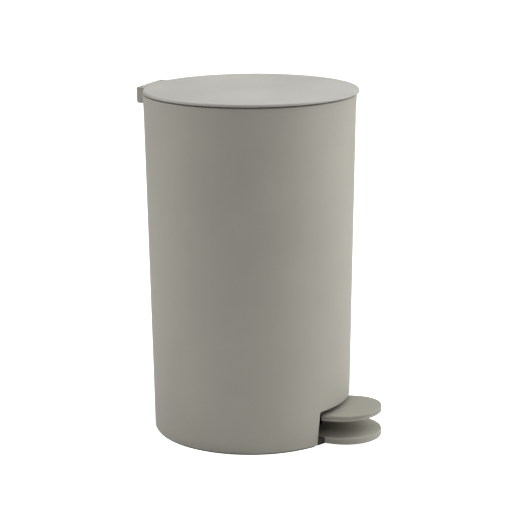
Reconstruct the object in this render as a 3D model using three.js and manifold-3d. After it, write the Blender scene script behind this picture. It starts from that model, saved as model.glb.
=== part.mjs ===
// Slim pedal bin: a tapered outer tube, a flat hinged lid, a removable inner bucket, and a foot pedal
// that lifts the lid through a lever and a push rod.
// Millimetres, +Z up, pedal at the front (-Y), lid hinge at the back (+Y), floor at z = 0.
// Every part is drawn about the axis of the outer tube; the last lines centre the whole bin.
import * as THREE from 'three';
import { mergeVertices } from 'three/addons/utils/BufferGeometryUtils.js';
import Module from 'manifold-3d';

const wasm = await Module();
wasm.setup();

// ---------------------------------------------------------------- driving dimensions

const GAP = 0.3; // air left between pieces that touch
const OVERCUT = 1; // how far a cutting shape reaches past the face it cuts
const ROOT = 0.6; // how deep a boss or rib is sunk into the wall it grows from
const SLIM = 12; // sides of screw shanks and bumpers
const COARSE = 16; // sides of small round pieces
const MEDIUM = 40; // sides of the pedal, the foot and the bucket
const FINE = 72; // sides of the tube and the lid

// Outer tube
const TUBE_RADIUS_FLOOR = 80.6;
const TUBE_RADIUS_RIM = 85;
const TUBE_WALL = 1.8;
const TUBE_BOTTOM = 0.8;
const RIM_TOP = 277.4;
const RIM_FLARE = 0.7;
const RIM_BAND = 10;
const EDGE_ROUND = 0.6;

// Pedal cut-out in the tube
const CUTOUT_HALF_TOP = 35.9;
const CUTOUT_HALF_FLOOR = 38.2;
const CUTOUT_TOP = 28.6;
const CUTOUT_CORNER = 1.5;

// Base plate with the round foot
const BASE_BOTTOM = 0.7;
const BASE_TOP = 5.85;
const BASE_PLATE_THICKNESS = 2.5;
const BASE_RADIUS = 78.5;
const BASE_SKIRT = 2.5;
const FOOT_CENTRE = -81.3;
const FOOT_RADIUS = 29.8;
const FOOT_BACK = -60;
const SILL_RADIUS = 80.3;
const SILL_HALF = 37.2;

// Soft parts under the base
const SOLE_TOP = 0.4;
const SOLE_LIP_TOP = 1.1;
const SOLE_LIP_OUTER = 75.7;
const RING_OUTER = 79.4;
const RING_INNER = 73.5;
const RING_OPEN_HALF = 38.6;
const FOOT_PAD_RADIUS = 20;
const FOOT_PAD_TOP = 1.4;
const FOOT_PAD_CENTRE = -86;

// Screws and their pillars in the tube
const PILLAR_COUNT = 4;
const PILLAR_RADIUS = 4.2;
const PILLAR_PITCH_RADIUS = 75.5;
const PILLAR_BOTTOM = 6.2;
const PILLAR_TOP = 30;
const SCREW_RADIUS = 1.2;
const SCREW_HOLE = SCREW_RADIUS + GAP;
const SCREW_HEAD_RADIUS = 3;
const SCREW_HEAD = 1.6;
const BASE_SCREW_TOP = 18;

// Pedal lever, in its own frame: the axle is the origin and the lever lies level
const AXLE_Y = -14;
const AXLE_RADIUS = 2;
const AXLE_HALF = 21;
const PEDAL_TILT = 0.058;
const PEDAL_REACH = 68.8;
const PEDAL_RADIUS = 28.7;
const PEDAL_THICKNESS = 4.4;
const PEDAL_TOP_AT_CENTRE = 23.9;
const PEDAL_BACK_CUT = -57;
const PEDAL_STEP = 0.2;
const PARTING = 0.15;
const LEVER_THICKNESS = 4;
const LEVER_FRONT_HALF = 13;
const LEVER_HUB_HALF = 10;
const LEVER_REAR_HALF = 6;
const LEVER_REAR_REACH = 89.3;
const LEVER_EYE_RADIUS = 3.3;
const LEVER_HUB_RADIUS = 5;
const HUB_CLEARANCE = 0.5;
const LEVER_WEB_TOP = 1.8;
const LEVER_WEB_END = 3;
const LEVER_FRONT_END = -9;
const LEVER_REAR_END = LEVER_REAR_REACH - 7;
const LEVER_PIN_BORE = 2;
const AXLE_Z = PEDAL_TOP_AT_CENTRE - PEDAL_THICKNESS / 2 - PEDAL_REACH * Math.sin(PEDAL_TILT);
const BEARING_INNER = 12;
const BEARING_OUTER = 18;
const BEARING_RADIUS = 4.5;
const BEARING_FOOT_HALF = 7;
const BEARING_FOOT_HEIGHT = 4;
const CLIP_RADIUS = 4.4;
const CLIP_THICKNESS = 1;

// Push rod
const ROD_RADIUS = 1.5;
const ROD_X = -6.2;
const ROD_Y = 75.2;
const ROD_END_X = 6;
const ROD_LOW_Z = AXLE_Z - LEVER_REAR_REACH * Math.sin(PEDAL_TILT);
const EYE_HALF = 3.6;
const ROD_CLIP_RADIUS = 3;
const GUIDE_HEIGHTS = [90, 180];
const GUIDE_HALF_WIDTH = 4.4;
const GUIDE_HALF_HEIGHT = 4;
const GUIDE_LIP = 3;
const GUIDE_BORE = 2;

// Lid hinge
const PIN_Y = 84.4;
const PIN_Z = 271.8;
const PIN_RADIUS = 1.5;
const PIN_BORE = PIN_RADIUS + GAP;
const PIN_HALF = 21.9;
const WINDOW_HALF = 23.8;
const WINDOW_BOTTOM = 265.4;
const BLOCK_HALF = 23;
const BLOCK_FRONT = 80.3;
const BLOCK_BACK = 88.7;
const BLOCK_BOTTOM = 267.6;
const BLOCK_TOP = 280.4;
const BLOCK_CORNER = 0.6;
const BLOCK_ROUND = 2;
const BLOCK_BEVEL = 2.2;
const BLOCK_LID_GAP = 0.5;
const EAR_ROOM_TOP = 275.6;
const DIMPLE_INNER = 16.5;
const DIMPLE_OUTER = 21;
const DIMPLE_FRONT = 85.3;
const DIMPLE_BACK = 87.3;
const DIMPLE_DEPTH = 2;
const EAR_INNER = 8;
const EAR_OUTER = 15;
const EAR_BARREL = 3.4;
const EAR_LEAN = 1.2;
const EAR_FRONT_TOP = 268;
const BRACKET_FRONT = 77.6;
const BRACKET_BACK = 80.2;
const BRACKET_BOTTOM = 244;
const BRACKET_PLATE_TOP = 256;
const BRACKET_SCREW_X = 11.5;
const BRACKET_SCREW_Z = 250;
const BRACKET_SCREW_END = 82;
const BRACKET_HALF = 16;
const PAD_HALF = 4.5;
const PAD_BACK = 82.6;
const CRANK_Y = -8;
const CRANK_Z = -6.7;
const CRANK_EYE = 4.4;
const CRANK_HOLE = 3.1;
const CRANK_HUB = 2.6;
const ROD_HIGH_Z = PIN_Z + CRANK_Z;

// Lid
const LID_RADIUS = 86.2;
const LID_CENTRE = -1.2;
const LID_TOP = 280.6;
const LID_BOTTOM = 278.3;
const LID_EDGE_ROUND = 1.5;
const LID_EDGE_MIDDLE = LID_EDGE_ROUND * (1 - Math.SQRT1_2);
const LID_UNDER_ROUND = 0.3;
const LINER_RADIUS = 80;
const LINER_PLATE = 1.6;
const LINER_DEPTH = 4;
const LINER_SKIRT = 2.5;
const FLANGE_FRONT = 66;
const FLANGE_THICKNESS = 2.4;
const LID_SCREW_X = 15;
const LID_SCREW_Y = 71;
const LID_SCREW_TOP = 279.5;
const LID_SCREW_HEAD_RADIUS = 4.4;
const LID_BOSS_RADIUS = 3.2;
const LID_BOSS_BOTTOM = 275.3;
const BUMPER_ANGLES = [-72, -108, 180];
const BUMPER_PITCH_RADIUS = 84.1;
const BUMPER_RADIUS = 0.8;
const BUMPER_TOP = 279;

// False floor over the mechanism
const COVER_BOTTOM = PILLAR_TOP + GAP;
const COVER_THICKNESS = 1.8;
const COVER_RADIUS = 78.8;
const COVER_NOTCH_HALF = 10;
const COVER_NOTCH_FRONT = 69.8;

// Inner bucket and its handle
const BUCKET_CENTRE = -3;
const BUCKET_BOTTOM = 32.5;
const BUCKET_TOP = 258;
const BUCKET_RADIUS_LOW = 67.5;
const BUCKET_RADIUS_HIGH = 69.4;
const BUCKET_WALL = 1.3;
const BUCKET_FLOOR = 1.6;
const BUCKET_FOOT_ROUND = 2;
const BUCKET_INNER_ROUND = 1.5;
const BUCKET_BEAD = 1.2;
const BUCKET_BEAD_HEIGHT = 5;
const COLLAR_HEIGHT = 2;
const COLLAR_WALL = 1.5;
const HANDLE_Z = 252;
const HANDLE_RADIUS = 74.9;
const HANDLE_WIRE = 1.3;
const HANDLE_BOSS_RADIUS = 4;
const HANDLE_BOSS_END = 72.4;
const HANDLE_TUCK = 1.6;
const HANDLE_STEPS = 24;
const GRIP_RADIUS = 3.4;
const GRIP_HALF_ANGLE = 18;
const GRIP_STEPS = 8;
const GRIP_BORE_REACH = 1.1;

// ---------------------------------------------------------------- finishes

const greige = { color: 0x9a978d, roughness: 0.55, metalness: 0 };
const finishes = {
  shell: greige,
  lid: { color: 0xa5a29a, roughness: 0.55, metalness: 0 },
  inside: { color: 0x8b887f, roughness: 0.6, metalness: 0 },
  bucket: { color: 0x3c3b38, roughness: 0.5, metalness: 0 },
  soft: { color: 0x2b2a27, roughness: 0.9, metalness: 0 },
  steel: { color: 0xb4b6b8, roughness: 0.35, metalness: 1 },
};

// ---------------------------------------------------------------- solid helpers

const radians = THREE.MathUtils.degToRad;

/** The mesh's triangles without those that shrank to a line when equal points were merged. */
function fullTriangles(index) {
  const kept = [];
  for (let i = 0; i < index.length; i += 3) {
    const [a, b, c] = [index[i], index[i + 1], index[i + 2]];
    if (a !== b && b !== c && c !== a) kept.push(a, b, c);
  }
  return kept;
}

/** A manifold solid from a closed three.js geometry. */
function solidOf(geometry) {
  const bare = geometry.clone();
  bare.deleteAttribute('normal');
  bare.deleteAttribute('uv');
  const merged = mergeVertices(bare, 1e-4);
  const vertProperties = Float32Array.from(merged.attributes.position.array);
  const triVerts = Uint32Array.from(fullTriangles(merged.index.array));
  return new wasm.Manifold(new wasm.Mesh({ numProp: 3, vertProperties, triVerts }));
}

/** A three.js geometry from a manifold solid. */
function geometryOf(solid) {
  const mesh = solid.getMesh();
  const geometry = new THREE.BufferGeometry();
  geometry.setAttribute('position', new THREE.BufferAttribute(mesh.vertProperties, 3));
  geometry.setIndex(new THREE.BufferAttribute(mesh.triVerts, 1));
  geometry.computeVertexNormals();
  return geometry;
}

/** A box between two corners. */
function block(low, high) {
  const size = high.map((value, i) => value - low[i]);
  const geometry = new THREE.BoxGeometry(...size);
  geometry.translate(...high.map((value, i) => (value + low[i]) / 2));
  return solidOf(geometry);
}

/** An upright disc or post. */
function post(x, y, radius, low, high, sides = COARSE) {
  const geometry = new THREE.CylinderGeometry(radius, radius, high - low, sides);
  geometry.rotateX(Math.PI / 2);
  geometry.translate(x, y, (low + high) / 2);
  return solidOf(geometry);
}

/** A round bar along X. */
function crossBar(y, z, radius, low, high, sides = COARSE) {
  const geometry = new THREE.CylinderGeometry(radius, radius, high - low, sides);
  geometry.rotateZ(Math.PI / 2);
  geometry.translate((low + high) / 2, y, z);
  return solidOf(geometry);
}

/** A round bar along Y. */
function depthBar(x, z, radius, low, high, sides = COARSE) {
  const geometry = new THREE.CylinderGeometry(radius, radius, high - low, sides);
  geometry.translate(x, (low + high) / 2, z);
  return solidOf(geometry);
}

/** A ball. */
function ball(x, y, z, radius) {
  const geometry = new THREE.SphereGeometry(radius, COARSE, COARSE / 2);
  geometry.translate(x, y, z);
  return solidOf(geometry);
}

/** A solid of revolution about the Z axis from [radius, z] points that end on the axis or close. */
function turned(points, sides) {
  const profile = points.map(([radius, z]) => new THREE.Vector2(radius, z));
  const geometry = new THREE.LatheGeometry(profile, sides);
  geometry.rotateX(Math.PI / 2);
  return solidOf(geometry);
}

/** A turned ring: its profile closes on itself. */
function turnedRing(points, sides) {
  return turned([...points, points[0]], sides);
}

/** An outline in the YZ plane, carried along X. */
function acrossPrism(shape, low, high) {
  const depth = high - low;
  const geometry = new THREE.ExtrudeGeometry(shape, { depth, bevelEnabled: false, curveSegments: 8 });
  const toAcross = new THREE.Matrix4().makeBasis(
    new THREE.Vector3(0, 1, 0),
    new THREE.Vector3(0, 0, 1),
    new THREE.Vector3(1, 0, 0),
  );
  geometry.applyMatrix4(toAcross);
  geometry.translate(low, 0, 0);
  return solidOf(geometry);
}

/** An outline in the XZ plane, carried along Y. */
function depthPrism(shape, low, high) {
  const depth = high - low;
  const geometry = new THREE.ExtrudeGeometry(shape, { depth, bevelEnabled: false, curveSegments: 6 });
  geometry.rotateX(Math.PI / 2);
  geometry.translate(0, high, 0);
  return solidOf(geometry);
}

/** An outline in the XY plane, carried upwards. */
function uprightPrism(shape, low, high) {
  const depth = high - low;
  const geometry = new THREE.ExtrudeGeometry(shape, { depth, bevelEnabled: false, curveSegments: 6 });
  geometry.translate(0, 0, low);
  return solidOf(geometry);
}

/** The outline of a flat link between two round ends. */
function linkShape([ay, az], radiusA, [by, bz], radiusB) {
  const heading = Math.atan2(bz - az, by - ay);
  const spread = Math.acos((radiusA - radiusB) / Math.hypot(by - ay, bz - az));
  const shape = new THREE.Shape();
  shape.absarc(ay, az, radiusA, heading + spread, heading - spread + 2 * Math.PI, false);
  shape.absarc(by, bz, radiusB, heading - spread, heading + spread, false);
  return shape;
}

/** The union of several solids. */
function joined(first, ...others) {
  return others.reduce((whole, next) => whole.add(next), first);
}

/** One solid with several others cut away. */
function cut(first, ...others) {
  return others.reduce((rest, next) => rest.subtract(next), first);
}

const bin = new THREE.Group();

/** Adds one named part to the bin. */
function place(name, solid, finish, parent = bin) {
  const mesh = new THREE.Mesh(geometryOf(solid), new THREE.MeshStandardMaterial(finishes[finish]));
  mesh.name = name;
  parent.add(mesh);
  return mesh;
}

// ---------------------------------------------------------------- outer tube

/** Outer radius of the plain tube at a height. */
function tubeRadius(z) {
  return TUBE_RADIUS_FLOOR + ((TUBE_RADIUS_RIM - TUBE_RADIUS_FLOOR) * z) / RIM_TOP;
}

/** Centres of the screw pillars. */
function pillarCentres() {
  return Array.from({ length: PILLAR_COUNT }, (_, i) => {
    const angle = radians(45 + (360 / PILLAR_COUNT) * i);
    return [PILLAR_PITCH_RADIUS * Math.cos(angle), PILLAR_PITCH_RADIUS * Math.sin(angle)];
  });
}

function tubeShell() {
  const flareStart = RIM_TOP - RIM_BAND;
  const rimOuter = TUBE_RADIUS_RIM + RIM_FLARE;
  const rimInner = TUBE_RADIUS_RIM - TUBE_WALL;
  return turnedRing(
    [
      [tubeRadius(0) - TUBE_WALL, TUBE_BOTTOM],
      [tubeRadius(0) - EDGE_ROUND, TUBE_BOTTOM],
      [tubeRadius(0), TUBE_BOTTOM + EDGE_ROUND],
      [tubeRadius(flareStart), flareStart],
      [rimOuter, RIM_TOP - EDGE_ROUND],
      [rimOuter - EDGE_ROUND, RIM_TOP],
      [rimInner, RIM_TOP],
    ],
    FINE,
  );
}

/** The tapered opening that the pedal and the foot come out of. */
function pedalCutout() {
  const shape = new THREE.Shape();
  const corner = CUTOUT_HALF_TOP - CUTOUT_CORNER;
  shape.moveTo(-CUTOUT_HALF_FLOOR, -OVERCUT);
  shape.lineTo(CUTOUT_HALF_FLOOR, -OVERCUT);
  shape.lineTo(CUTOUT_HALF_TOP, CUTOUT_TOP - CUTOUT_CORNER);
  shape.quadraticCurveTo(CUTOUT_HALF_TOP, CUTOUT_TOP, corner, CUTOUT_TOP);
  shape.lineTo(-corner, CUTOUT_TOP);
  shape.quadraticCurveTo(-CUTOUT_HALF_TOP, CUTOUT_TOP, -CUTOUT_HALF_TOP, CUTOUT_TOP - CUTOUT_CORNER);
  return depthPrism(shape, -TUBE_RADIUS_RIM, FOOT_BACK);
}

/** A guide on the tube's inner wall that the push rod slides through. */
function rodGuide(z) {
  const wallInside = tubeRadius(z) - TUBE_WALL;
  const body = block(
    [ROD_X - GUIDE_HALF_WIDTH, ROD_Y - GUIDE_LIP, z - GUIDE_HALF_HEIGHT],
    [ROD_X + GUIDE_HALF_WIDTH, wallInside + ROOT, z + GUIDE_HALF_HEIGHT],
  );
  const reach = GUIDE_HALF_HEIGHT + OVERCUT;
  return cut(body, post(ROD_X, ROD_Y, GUIDE_BORE, z - reach, z + reach));
}

/** A pad on the inner wall that the hinge bracket is screwed to. */
function bracketPad(side) {
  const centre = side * BRACKET_SCREW_X;
  return block(
    [centre - PAD_HALF, BRACKET_BACK + GAP, BRACKET_BOTTOM],
    [centre + PAD_HALF, PAD_BACK, BRACKET_PLATE_TOP],
  );
}

function outerBody() {
  const pillars = pillarCentres().map(([x, y]) => post(x, y, PILLAR_RADIUS, PILLAR_BOTTOM, PILLAR_TOP));
  const pilots = pillarCentres().map(([x, y]) =>
    post(x, y, SCREW_HOLE, PILLAR_BOTTOM - OVERCUT, BASE_SCREW_TOP + OVERCUT));
  const guides = GUIDE_HEIGHTS.map(rodGuide);
  const pads = [-1, 1].map(bracketPad);
  const padPilots = [-1, 1].map((side) =>
    depthBar(side * BRACKET_SCREW_X, BRACKET_SCREW_Z, SCREW_HOLE, BRACKET_BACK, BRACKET_SCREW_END + GAP));
  const whole = joined(tubeShell(), ...pillars, ...guides, ...pads);
  const window = block(
    [-WINDOW_HALF, BRACKET_FRONT, WINDOW_BOTTOM],
    [WINDOW_HALF, BLOCK_BACK, RIM_TOP + OVERCUT],
  );
  return cut(whole, pedalCutout(), window, ...pilots, ...padPilots);
}

place('outer_body', outerBody(), 'shell');

// ---------------------------------------------------------------- base

/** Uprights that carry the pedal axle. */
function axleBearing(side) {
  const [low, high] = side < 0 ? [-BEARING_OUTER, -BEARING_INNER] : [BEARING_INNER, BEARING_OUTER];
  const upright = joined(
    block(
      [low, AXLE_Y - BEARING_FOOT_HALF, BASE_TOP - ROOT],
      [high, AXLE_Y + BEARING_FOOT_HALF, BASE_TOP + BEARING_FOOT_HEIGHT],
    ),
    block([low, AXLE_Y - BEARING_RADIUS, BASE_TOP - ROOT], [high, AXLE_Y + BEARING_RADIUS, AXLE_Z]),
    crossBar(AXLE_Y, AXLE_Z, BEARING_RADIUS, low, high),
  );
  return cut(upright, crossBar(AXLE_Y, AXLE_Z, AXLE_RADIUS + GAP, low - OVERCUT, high + OVERCUT));
}

/** A flat tongue: round at the front, with straight sides that run back. */
function tongue(centre, radius, back, low, high) {
  const nose = post(0, centre, radius, low, high, MEDIUM);
  const front = nose.intersect(block([-radius, centre - radius, low], [radius, centre, high]));
  return front.add(block([-radius, centre, low], [radius, back, high]));
}

/** The foot that steadies the bin while the pedal is pressed, with a pocket for its soft pad. */
function footPlate() {
  const padPocket = post(0, FOOT_PAD_CENTRE, FOOT_PAD_RADIUS + GAP, 0, FOOT_PAD_TOP + GAP, MEDIUM);
  return cut(tongue(FOOT_CENTRE, FOOT_RADIUS, FOOT_BACK, BASE_BOTTOM, BASE_TOP), padPocket);
}

function basePlate() {
  const underside = BASE_TOP - BASE_PLATE_THICKNESS;
  const tray = cut(
    post(0, 0, BASE_RADIUS, BASE_BOTTOM, BASE_TOP, FINE),
    post(0, 0, BASE_RADIUS - BASE_SKIRT, BASE_BOTTOM - OVERCUT, underside, FINE),
  );
  const sill = post(0, 0, SILL_RADIUS, BASE_BOTTOM, BASE_TOP, FINE)
    .intersect(block([-SILL_HALF, -SILL_RADIUS - OVERCUT, 0], [SILL_HALF, FOOT_BACK, BASE_TOP]));
  const footRoom = tongue(FOOT_CENTRE, FOOT_RADIUS + GAP, FOOT_BACK + GAP, 0, BASE_TOP + OVERCUT);
  const holes = pillarCentres().map(([x, y]) => post(x, y, SCREW_RADIUS + 2 * GAP, 0, BASE_TOP + OVERCUT));
  const headRoom = pillarCentres().map(([x, y]) => post(x, y, SCREW_HEAD_RADIUS + GAP, 0, underside));
  const whole = joined(tray, sill, axleBearing(-1), axleBearing(1));
  return cut(whole, footRoom, ...holes, ...headRoom);
}

place('base_plate', basePlate(), 'bucket');
place('foot_plate', footPlate(), 'shell');

/** The soft ring the bin stands on: a flat sole with a lip inside the base, open where the foot is. */
function antiSlipRing() {
  const ring = turnedRing(
    [
      [RING_INNER, 0],
      [RING_OUTER, 0],
      [RING_OUTER, SOLE_TOP],
      [SOLE_LIP_OUTER, SOLE_TOP],
      [SOLE_LIP_OUTER, SOLE_LIP_TOP],
      [RING_INNER, SOLE_LIP_TOP],
    ],
    FINE,
  );
  const opening = block(
    [-RING_OPEN_HALF, -RING_OUTER - OVERCUT, -OVERCUT],
    [RING_OPEN_HALF, -RING_OPEN_HALF, SOLE_LIP_TOP + OVERCUT],
  );
  return cut(ring, opening);
}

place('anti_slip_ring', antiSlipRing(), 'soft');
place('foot_pad', post(0, FOOT_PAD_CENTRE, FOOT_PAD_RADIUS, 0, FOOT_PAD_TOP, MEDIUM), 'soft');

pillarCentres().forEach(([x, y], i) => {
  const headTop = BASE_TOP - BASE_PLATE_THICKNESS - GAP;
  const head = post(x, y, SCREW_HEAD_RADIUS, headTop - SCREW_HEAD, headTop);
  const shank = post(x, y, SCREW_RADIUS, headTop - ROOT, BASE_SCREW_TOP, SLIM);
  place(`base_screw_${i + 1}`, head.add(shank), 'steel');
});

// ---------------------------------------------------------------- false floor

function mechanismCover() {
  const top = COVER_BOTTOM + COVER_THICKNESS;
  const outer = BUCKET_RADIUS_LOW + 1;
  const collar = cut(
    post(0, BUCKET_CENTRE, outer + COLLAR_WALL, top - ROOT, top + COLLAR_HEIGHT, MEDIUM),
    post(0, BUCKET_CENTRE, outer, top - OVERCUT, top + COLLAR_HEIGHT + OVERCUT, MEDIUM),
  );
  const plate = post(0, 0, COVER_RADIUS, COVER_BOTTOM, top, FINE);
  const notch = block(
    [-COVER_NOTCH_HALF, COVER_NOTCH_FRONT, COVER_BOTTOM - OVERCUT],
    [COVER_NOTCH_HALF, COVER_RADIUS + OVERCUT, top + COLLAR_HEIGHT + OVERCUT],
  );
  return cut(joined(plate, collar), notch);
}

place('mechanism_cover', mechanismCover(), 'inside');

// ---------------------------------------------------------------- pedal, lever and axle

const lever = new THREE.Group();
lever.position.set(0, AXLE_Y, AXLE_Z);
lever.rotation.x = -PEDAL_TILT;
bin.add(lever);

/** Half the thickness of the tread, cut off square just inside the tube. */
function tread(radius, low, high) {
  return tongue(-PEDAL_REACH, radius, PEDAL_BACK_CUT, low, high);
}

function pedalLever() {
  const half = LEVER_THICKNESS / 2;
  const hubHalf = BEARING_INNER - HUB_CLEARANCE;
  const hub = crossBar(0, 0, LEVER_HUB_RADIUS, -hubHalf, hubHalf);
  const whole = joined(
    tread(PEDAL_RADIUS - PEDAL_STEP, -PEDAL_THICKNESS / 2, -PARTING),
    block([-LEVER_FRONT_HALF, PEDAL_BACK_CUT - ROOT, -half], [LEVER_FRONT_HALF, LEVER_FRONT_END, -PARTING]),
    block([-LEVER_FRONT_HALF, PEDAL_BACK_CUT + GAP, -half], [LEVER_FRONT_HALF, LEVER_FRONT_END, half]),
    block([-LEVER_HUB_HALF, LEVER_FRONT_END - ROOT, -half], [LEVER_HUB_HALF, LEVER_WEB_END, LEVER_WEB_TOP]),
    block([-LEVER_REAR_HALF, 0, -half], [LEVER_REAR_HALF, LEVER_REAR_END, half]),
    block([-EYE_HALF, LEVER_REAR_END - ROOT, -half], [EYE_HALF, LEVER_REAR_REACH, half]),
    crossBar(LEVER_REAR_REACH, 0, LEVER_EYE_RADIUS, -EYE_HALF, EYE_HALF),
    hub,
  );
  return cut(
    whole,
    crossBar(0, 0, AXLE_RADIUS + GAP, -BEARING_INNER, BEARING_INNER),
    crossBar(LEVER_REAR_REACH, 0, LEVER_PIN_BORE, -EYE_HALF - OVERCUT, EYE_HALF + OVERCUT),
  );
}

place('pedal_lever', pedalLever(), 'shell', lever);
place('pedal_cap', tread(PEDAL_RADIUS, PARTING, PEDAL_THICKNESS / 2), 'shell', lever);
place('pedal_axle', crossBar(AXLE_Y, AXLE_Z, AXLE_RADIUS, -AXLE_HALF, AXLE_HALF), 'steel');

for (const [side, name] of [[-1, 'left'], [1, 'right']]) {
  const near = BEARING_OUTER + GAP;
  const [low, high] = [side * near, side * (near + CLIP_THICKNESS)].sort((a, b) => a - b);
  const washer = cut(
    crossBar(AXLE_Y, AXLE_Z, CLIP_RADIUS, low, high),
    crossBar(AXLE_Y, AXLE_Z, AXLE_RADIUS + GAP, low - OVERCUT, high + OVERCUT),
  );
  place(`axle_clip_${name}`, washer, 'steel');
}

// ---------------------------------------------------------------- push rod

function pushRod() {
  return joined(
    post(ROD_X, ROD_Y, ROD_RADIUS, ROD_LOW_Z, ROD_HIGH_Z),
    crossBar(ROD_Y, ROD_LOW_Z, ROD_RADIUS, ROD_X, ROD_END_X),
    crossBar(ROD_Y, ROD_HIGH_Z, ROD_RADIUS, ROD_X, ROD_END_X),
    ball(ROD_X, ROD_Y, ROD_LOW_Z, ROD_RADIUS),
    ball(ROD_X, ROD_Y, ROD_HIGH_Z, ROD_RADIUS),
  );
}

place('push_rod', pushRod(), 'steel');

for (const [name, z] of [['lower', ROD_LOW_Z], ['upper', ROD_HIGH_Z]]) {
  const [low, high] = [EYE_HALF + GAP, EYE_HALF + GAP + CLIP_THICKNESS];
  const washer = cut(
    crossBar(ROD_Y, z, ROD_CLIP_RADIUS, low, high),
    crossBar(ROD_Y, z, ROD_RADIUS + GAP, low - OVERCUT, high + OVERCUT),
  );
  place(`rod_clip_${name}`, washer, 'steel');
}

// ---------------------------------------------------------------- lid hinge

/** One ear of the bracket: it carries the pin behind the rim. */
function bracketEar(side) {
  const [low, high] = side < 0 ? [-EAR_OUTER, -EAR_INNER] : [EAR_INNER, EAR_OUTER];
  const shape = new THREE.Shape();
  shape.moveTo(BRACKET_FRONT, BRACKET_BOTTOM);
  shape.lineTo(BRACKET_BACK, BRACKET_BOTTOM);
  shape.lineTo(BRACKET_BACK, WINDOW_BOTTOM - 1);
  shape.lineTo(PIN_Y + EAR_LEAN, PIN_Z - EAR_BARREL + GAP);
  shape.lineTo(PIN_Y - EAR_LEAN, PIN_Z + EAR_BARREL - GAP);
  shape.lineTo(BRACKET_FRONT, EAR_FRONT_TOP);
  return joined(acrossPrism(shape, low, high), crossBar(PIN_Y, PIN_Z, EAR_BARREL, low, high));
}

function hingeBracket() {
  const plate = block(
    [-BRACKET_HALF, BRACKET_FRONT, BRACKET_BOTTOM],
    [BRACKET_HALF, BRACKET_BACK, BRACKET_PLATE_TOP],
  );
  const through = [BRACKET_FRONT - OVERCUT, BRACKET_BACK + OVERCUT];
  const holes = [-1, 1].map((side) =>
    depthBar(side * BRACKET_SCREW_X, BRACKET_SCREW_Z, SCREW_HOLE, ...through));
  const pinBore = crossBar(PIN_Y, PIN_Z, PIN_BORE, -BRACKET_HALF, BRACKET_HALF);
  return cut(joined(plate, bracketEar(-1), bracketEar(1)), ...holes, pinBore);
}

place('hinge_bracket', hingeBracket(), 'inside');
place('hinge_pin', crossBar(PIN_Y, PIN_Z, PIN_RADIUS, -PIN_HALF, PIN_HALF), 'steel');

for (const [side, name] of [[-1, 'left'], [1, 'right']]) {
  const x = side * BRACKET_SCREW_X;
  const headBack = BRACKET_FRONT - GAP;
  const head = depthBar(x, BRACKET_SCREW_Z, SCREW_HEAD_RADIUS, headBack - SCREW_HEAD, headBack);
  const shank = depthBar(x, BRACKET_SCREW_Z, SCREW_RADIUS, headBack - ROOT, BRACKET_SCREW_END, SLIM);
  place(`bracket_screw_${name}`, head.add(shank), 'steel');
}

/** Side outline of the hinge block, rounded low at the back and bevelled low at the front. */
function blockOutline() {
  const shape = new THREE.Shape();
  shape.moveTo(BLOCK_FRONT, BLOCK_TOP);
  shape.lineTo(BLOCK_FRONT, BLOCK_BOTTOM + BLOCK_BEVEL);
  shape.lineTo(BLOCK_FRONT + BLOCK_BEVEL, BLOCK_BOTTOM);
  shape.lineTo(BLOCK_BACK - BLOCK_ROUND, BLOCK_BOTTOM);
  shape.absarc(BLOCK_BACK - BLOCK_ROUND, BLOCK_BOTTOM + BLOCK_ROUND, BLOCK_ROUND, -Math.PI / 2, 0, false);
  shape.lineTo(BLOCK_BACK, BLOCK_TOP);
  return shape;
}

/** Plan of the hinge block, with its two back corners rounded. */
function blockPlan() {
  const shape = new THREE.Shape();
  const side = BLOCK_HALF - BLOCK_CORNER;
  const back = BLOCK_BACK - BLOCK_CORNER;
  shape.moveTo(-BLOCK_HALF, BLOCK_FRONT);
  shape.lineTo(BLOCK_HALF, BLOCK_FRONT);
  shape.absarc(side, back, BLOCK_CORNER, 0, Math.PI / 2, false);
  shape.absarc(-side, back, BLOCK_CORNER, Math.PI / 2, Math.PI, false);
  return shape;
}

/** The room in the block that one ear of the bracket turns in, open below and behind. */
function earRoom(side) {
  const [low, high] = [side * (EAR_INNER - GAP), side * (EAR_OUTER + GAP)].sort((a, b) => a - b);
  return block(
    [low, BLOCK_FRONT - OVERCUT, BLOCK_BOTTOM - OVERCUT],
    [high, BLOCK_BACK + OVERCUT, EAR_ROOM_TOP],
  );
}

/** A small moulding recess in the block's top face. */
function dimple(side) {
  const [low, high] = [side * DIMPLE_INNER, side * DIMPLE_OUTER].sort((a, b) => a - b);
  return block(
    [low, DIMPLE_FRONT, BLOCK_TOP - DIMPLE_DEPTH],
    [high, DIMPLE_BACK, BLOCK_TOP + OVERCUT],
  );
}

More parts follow.
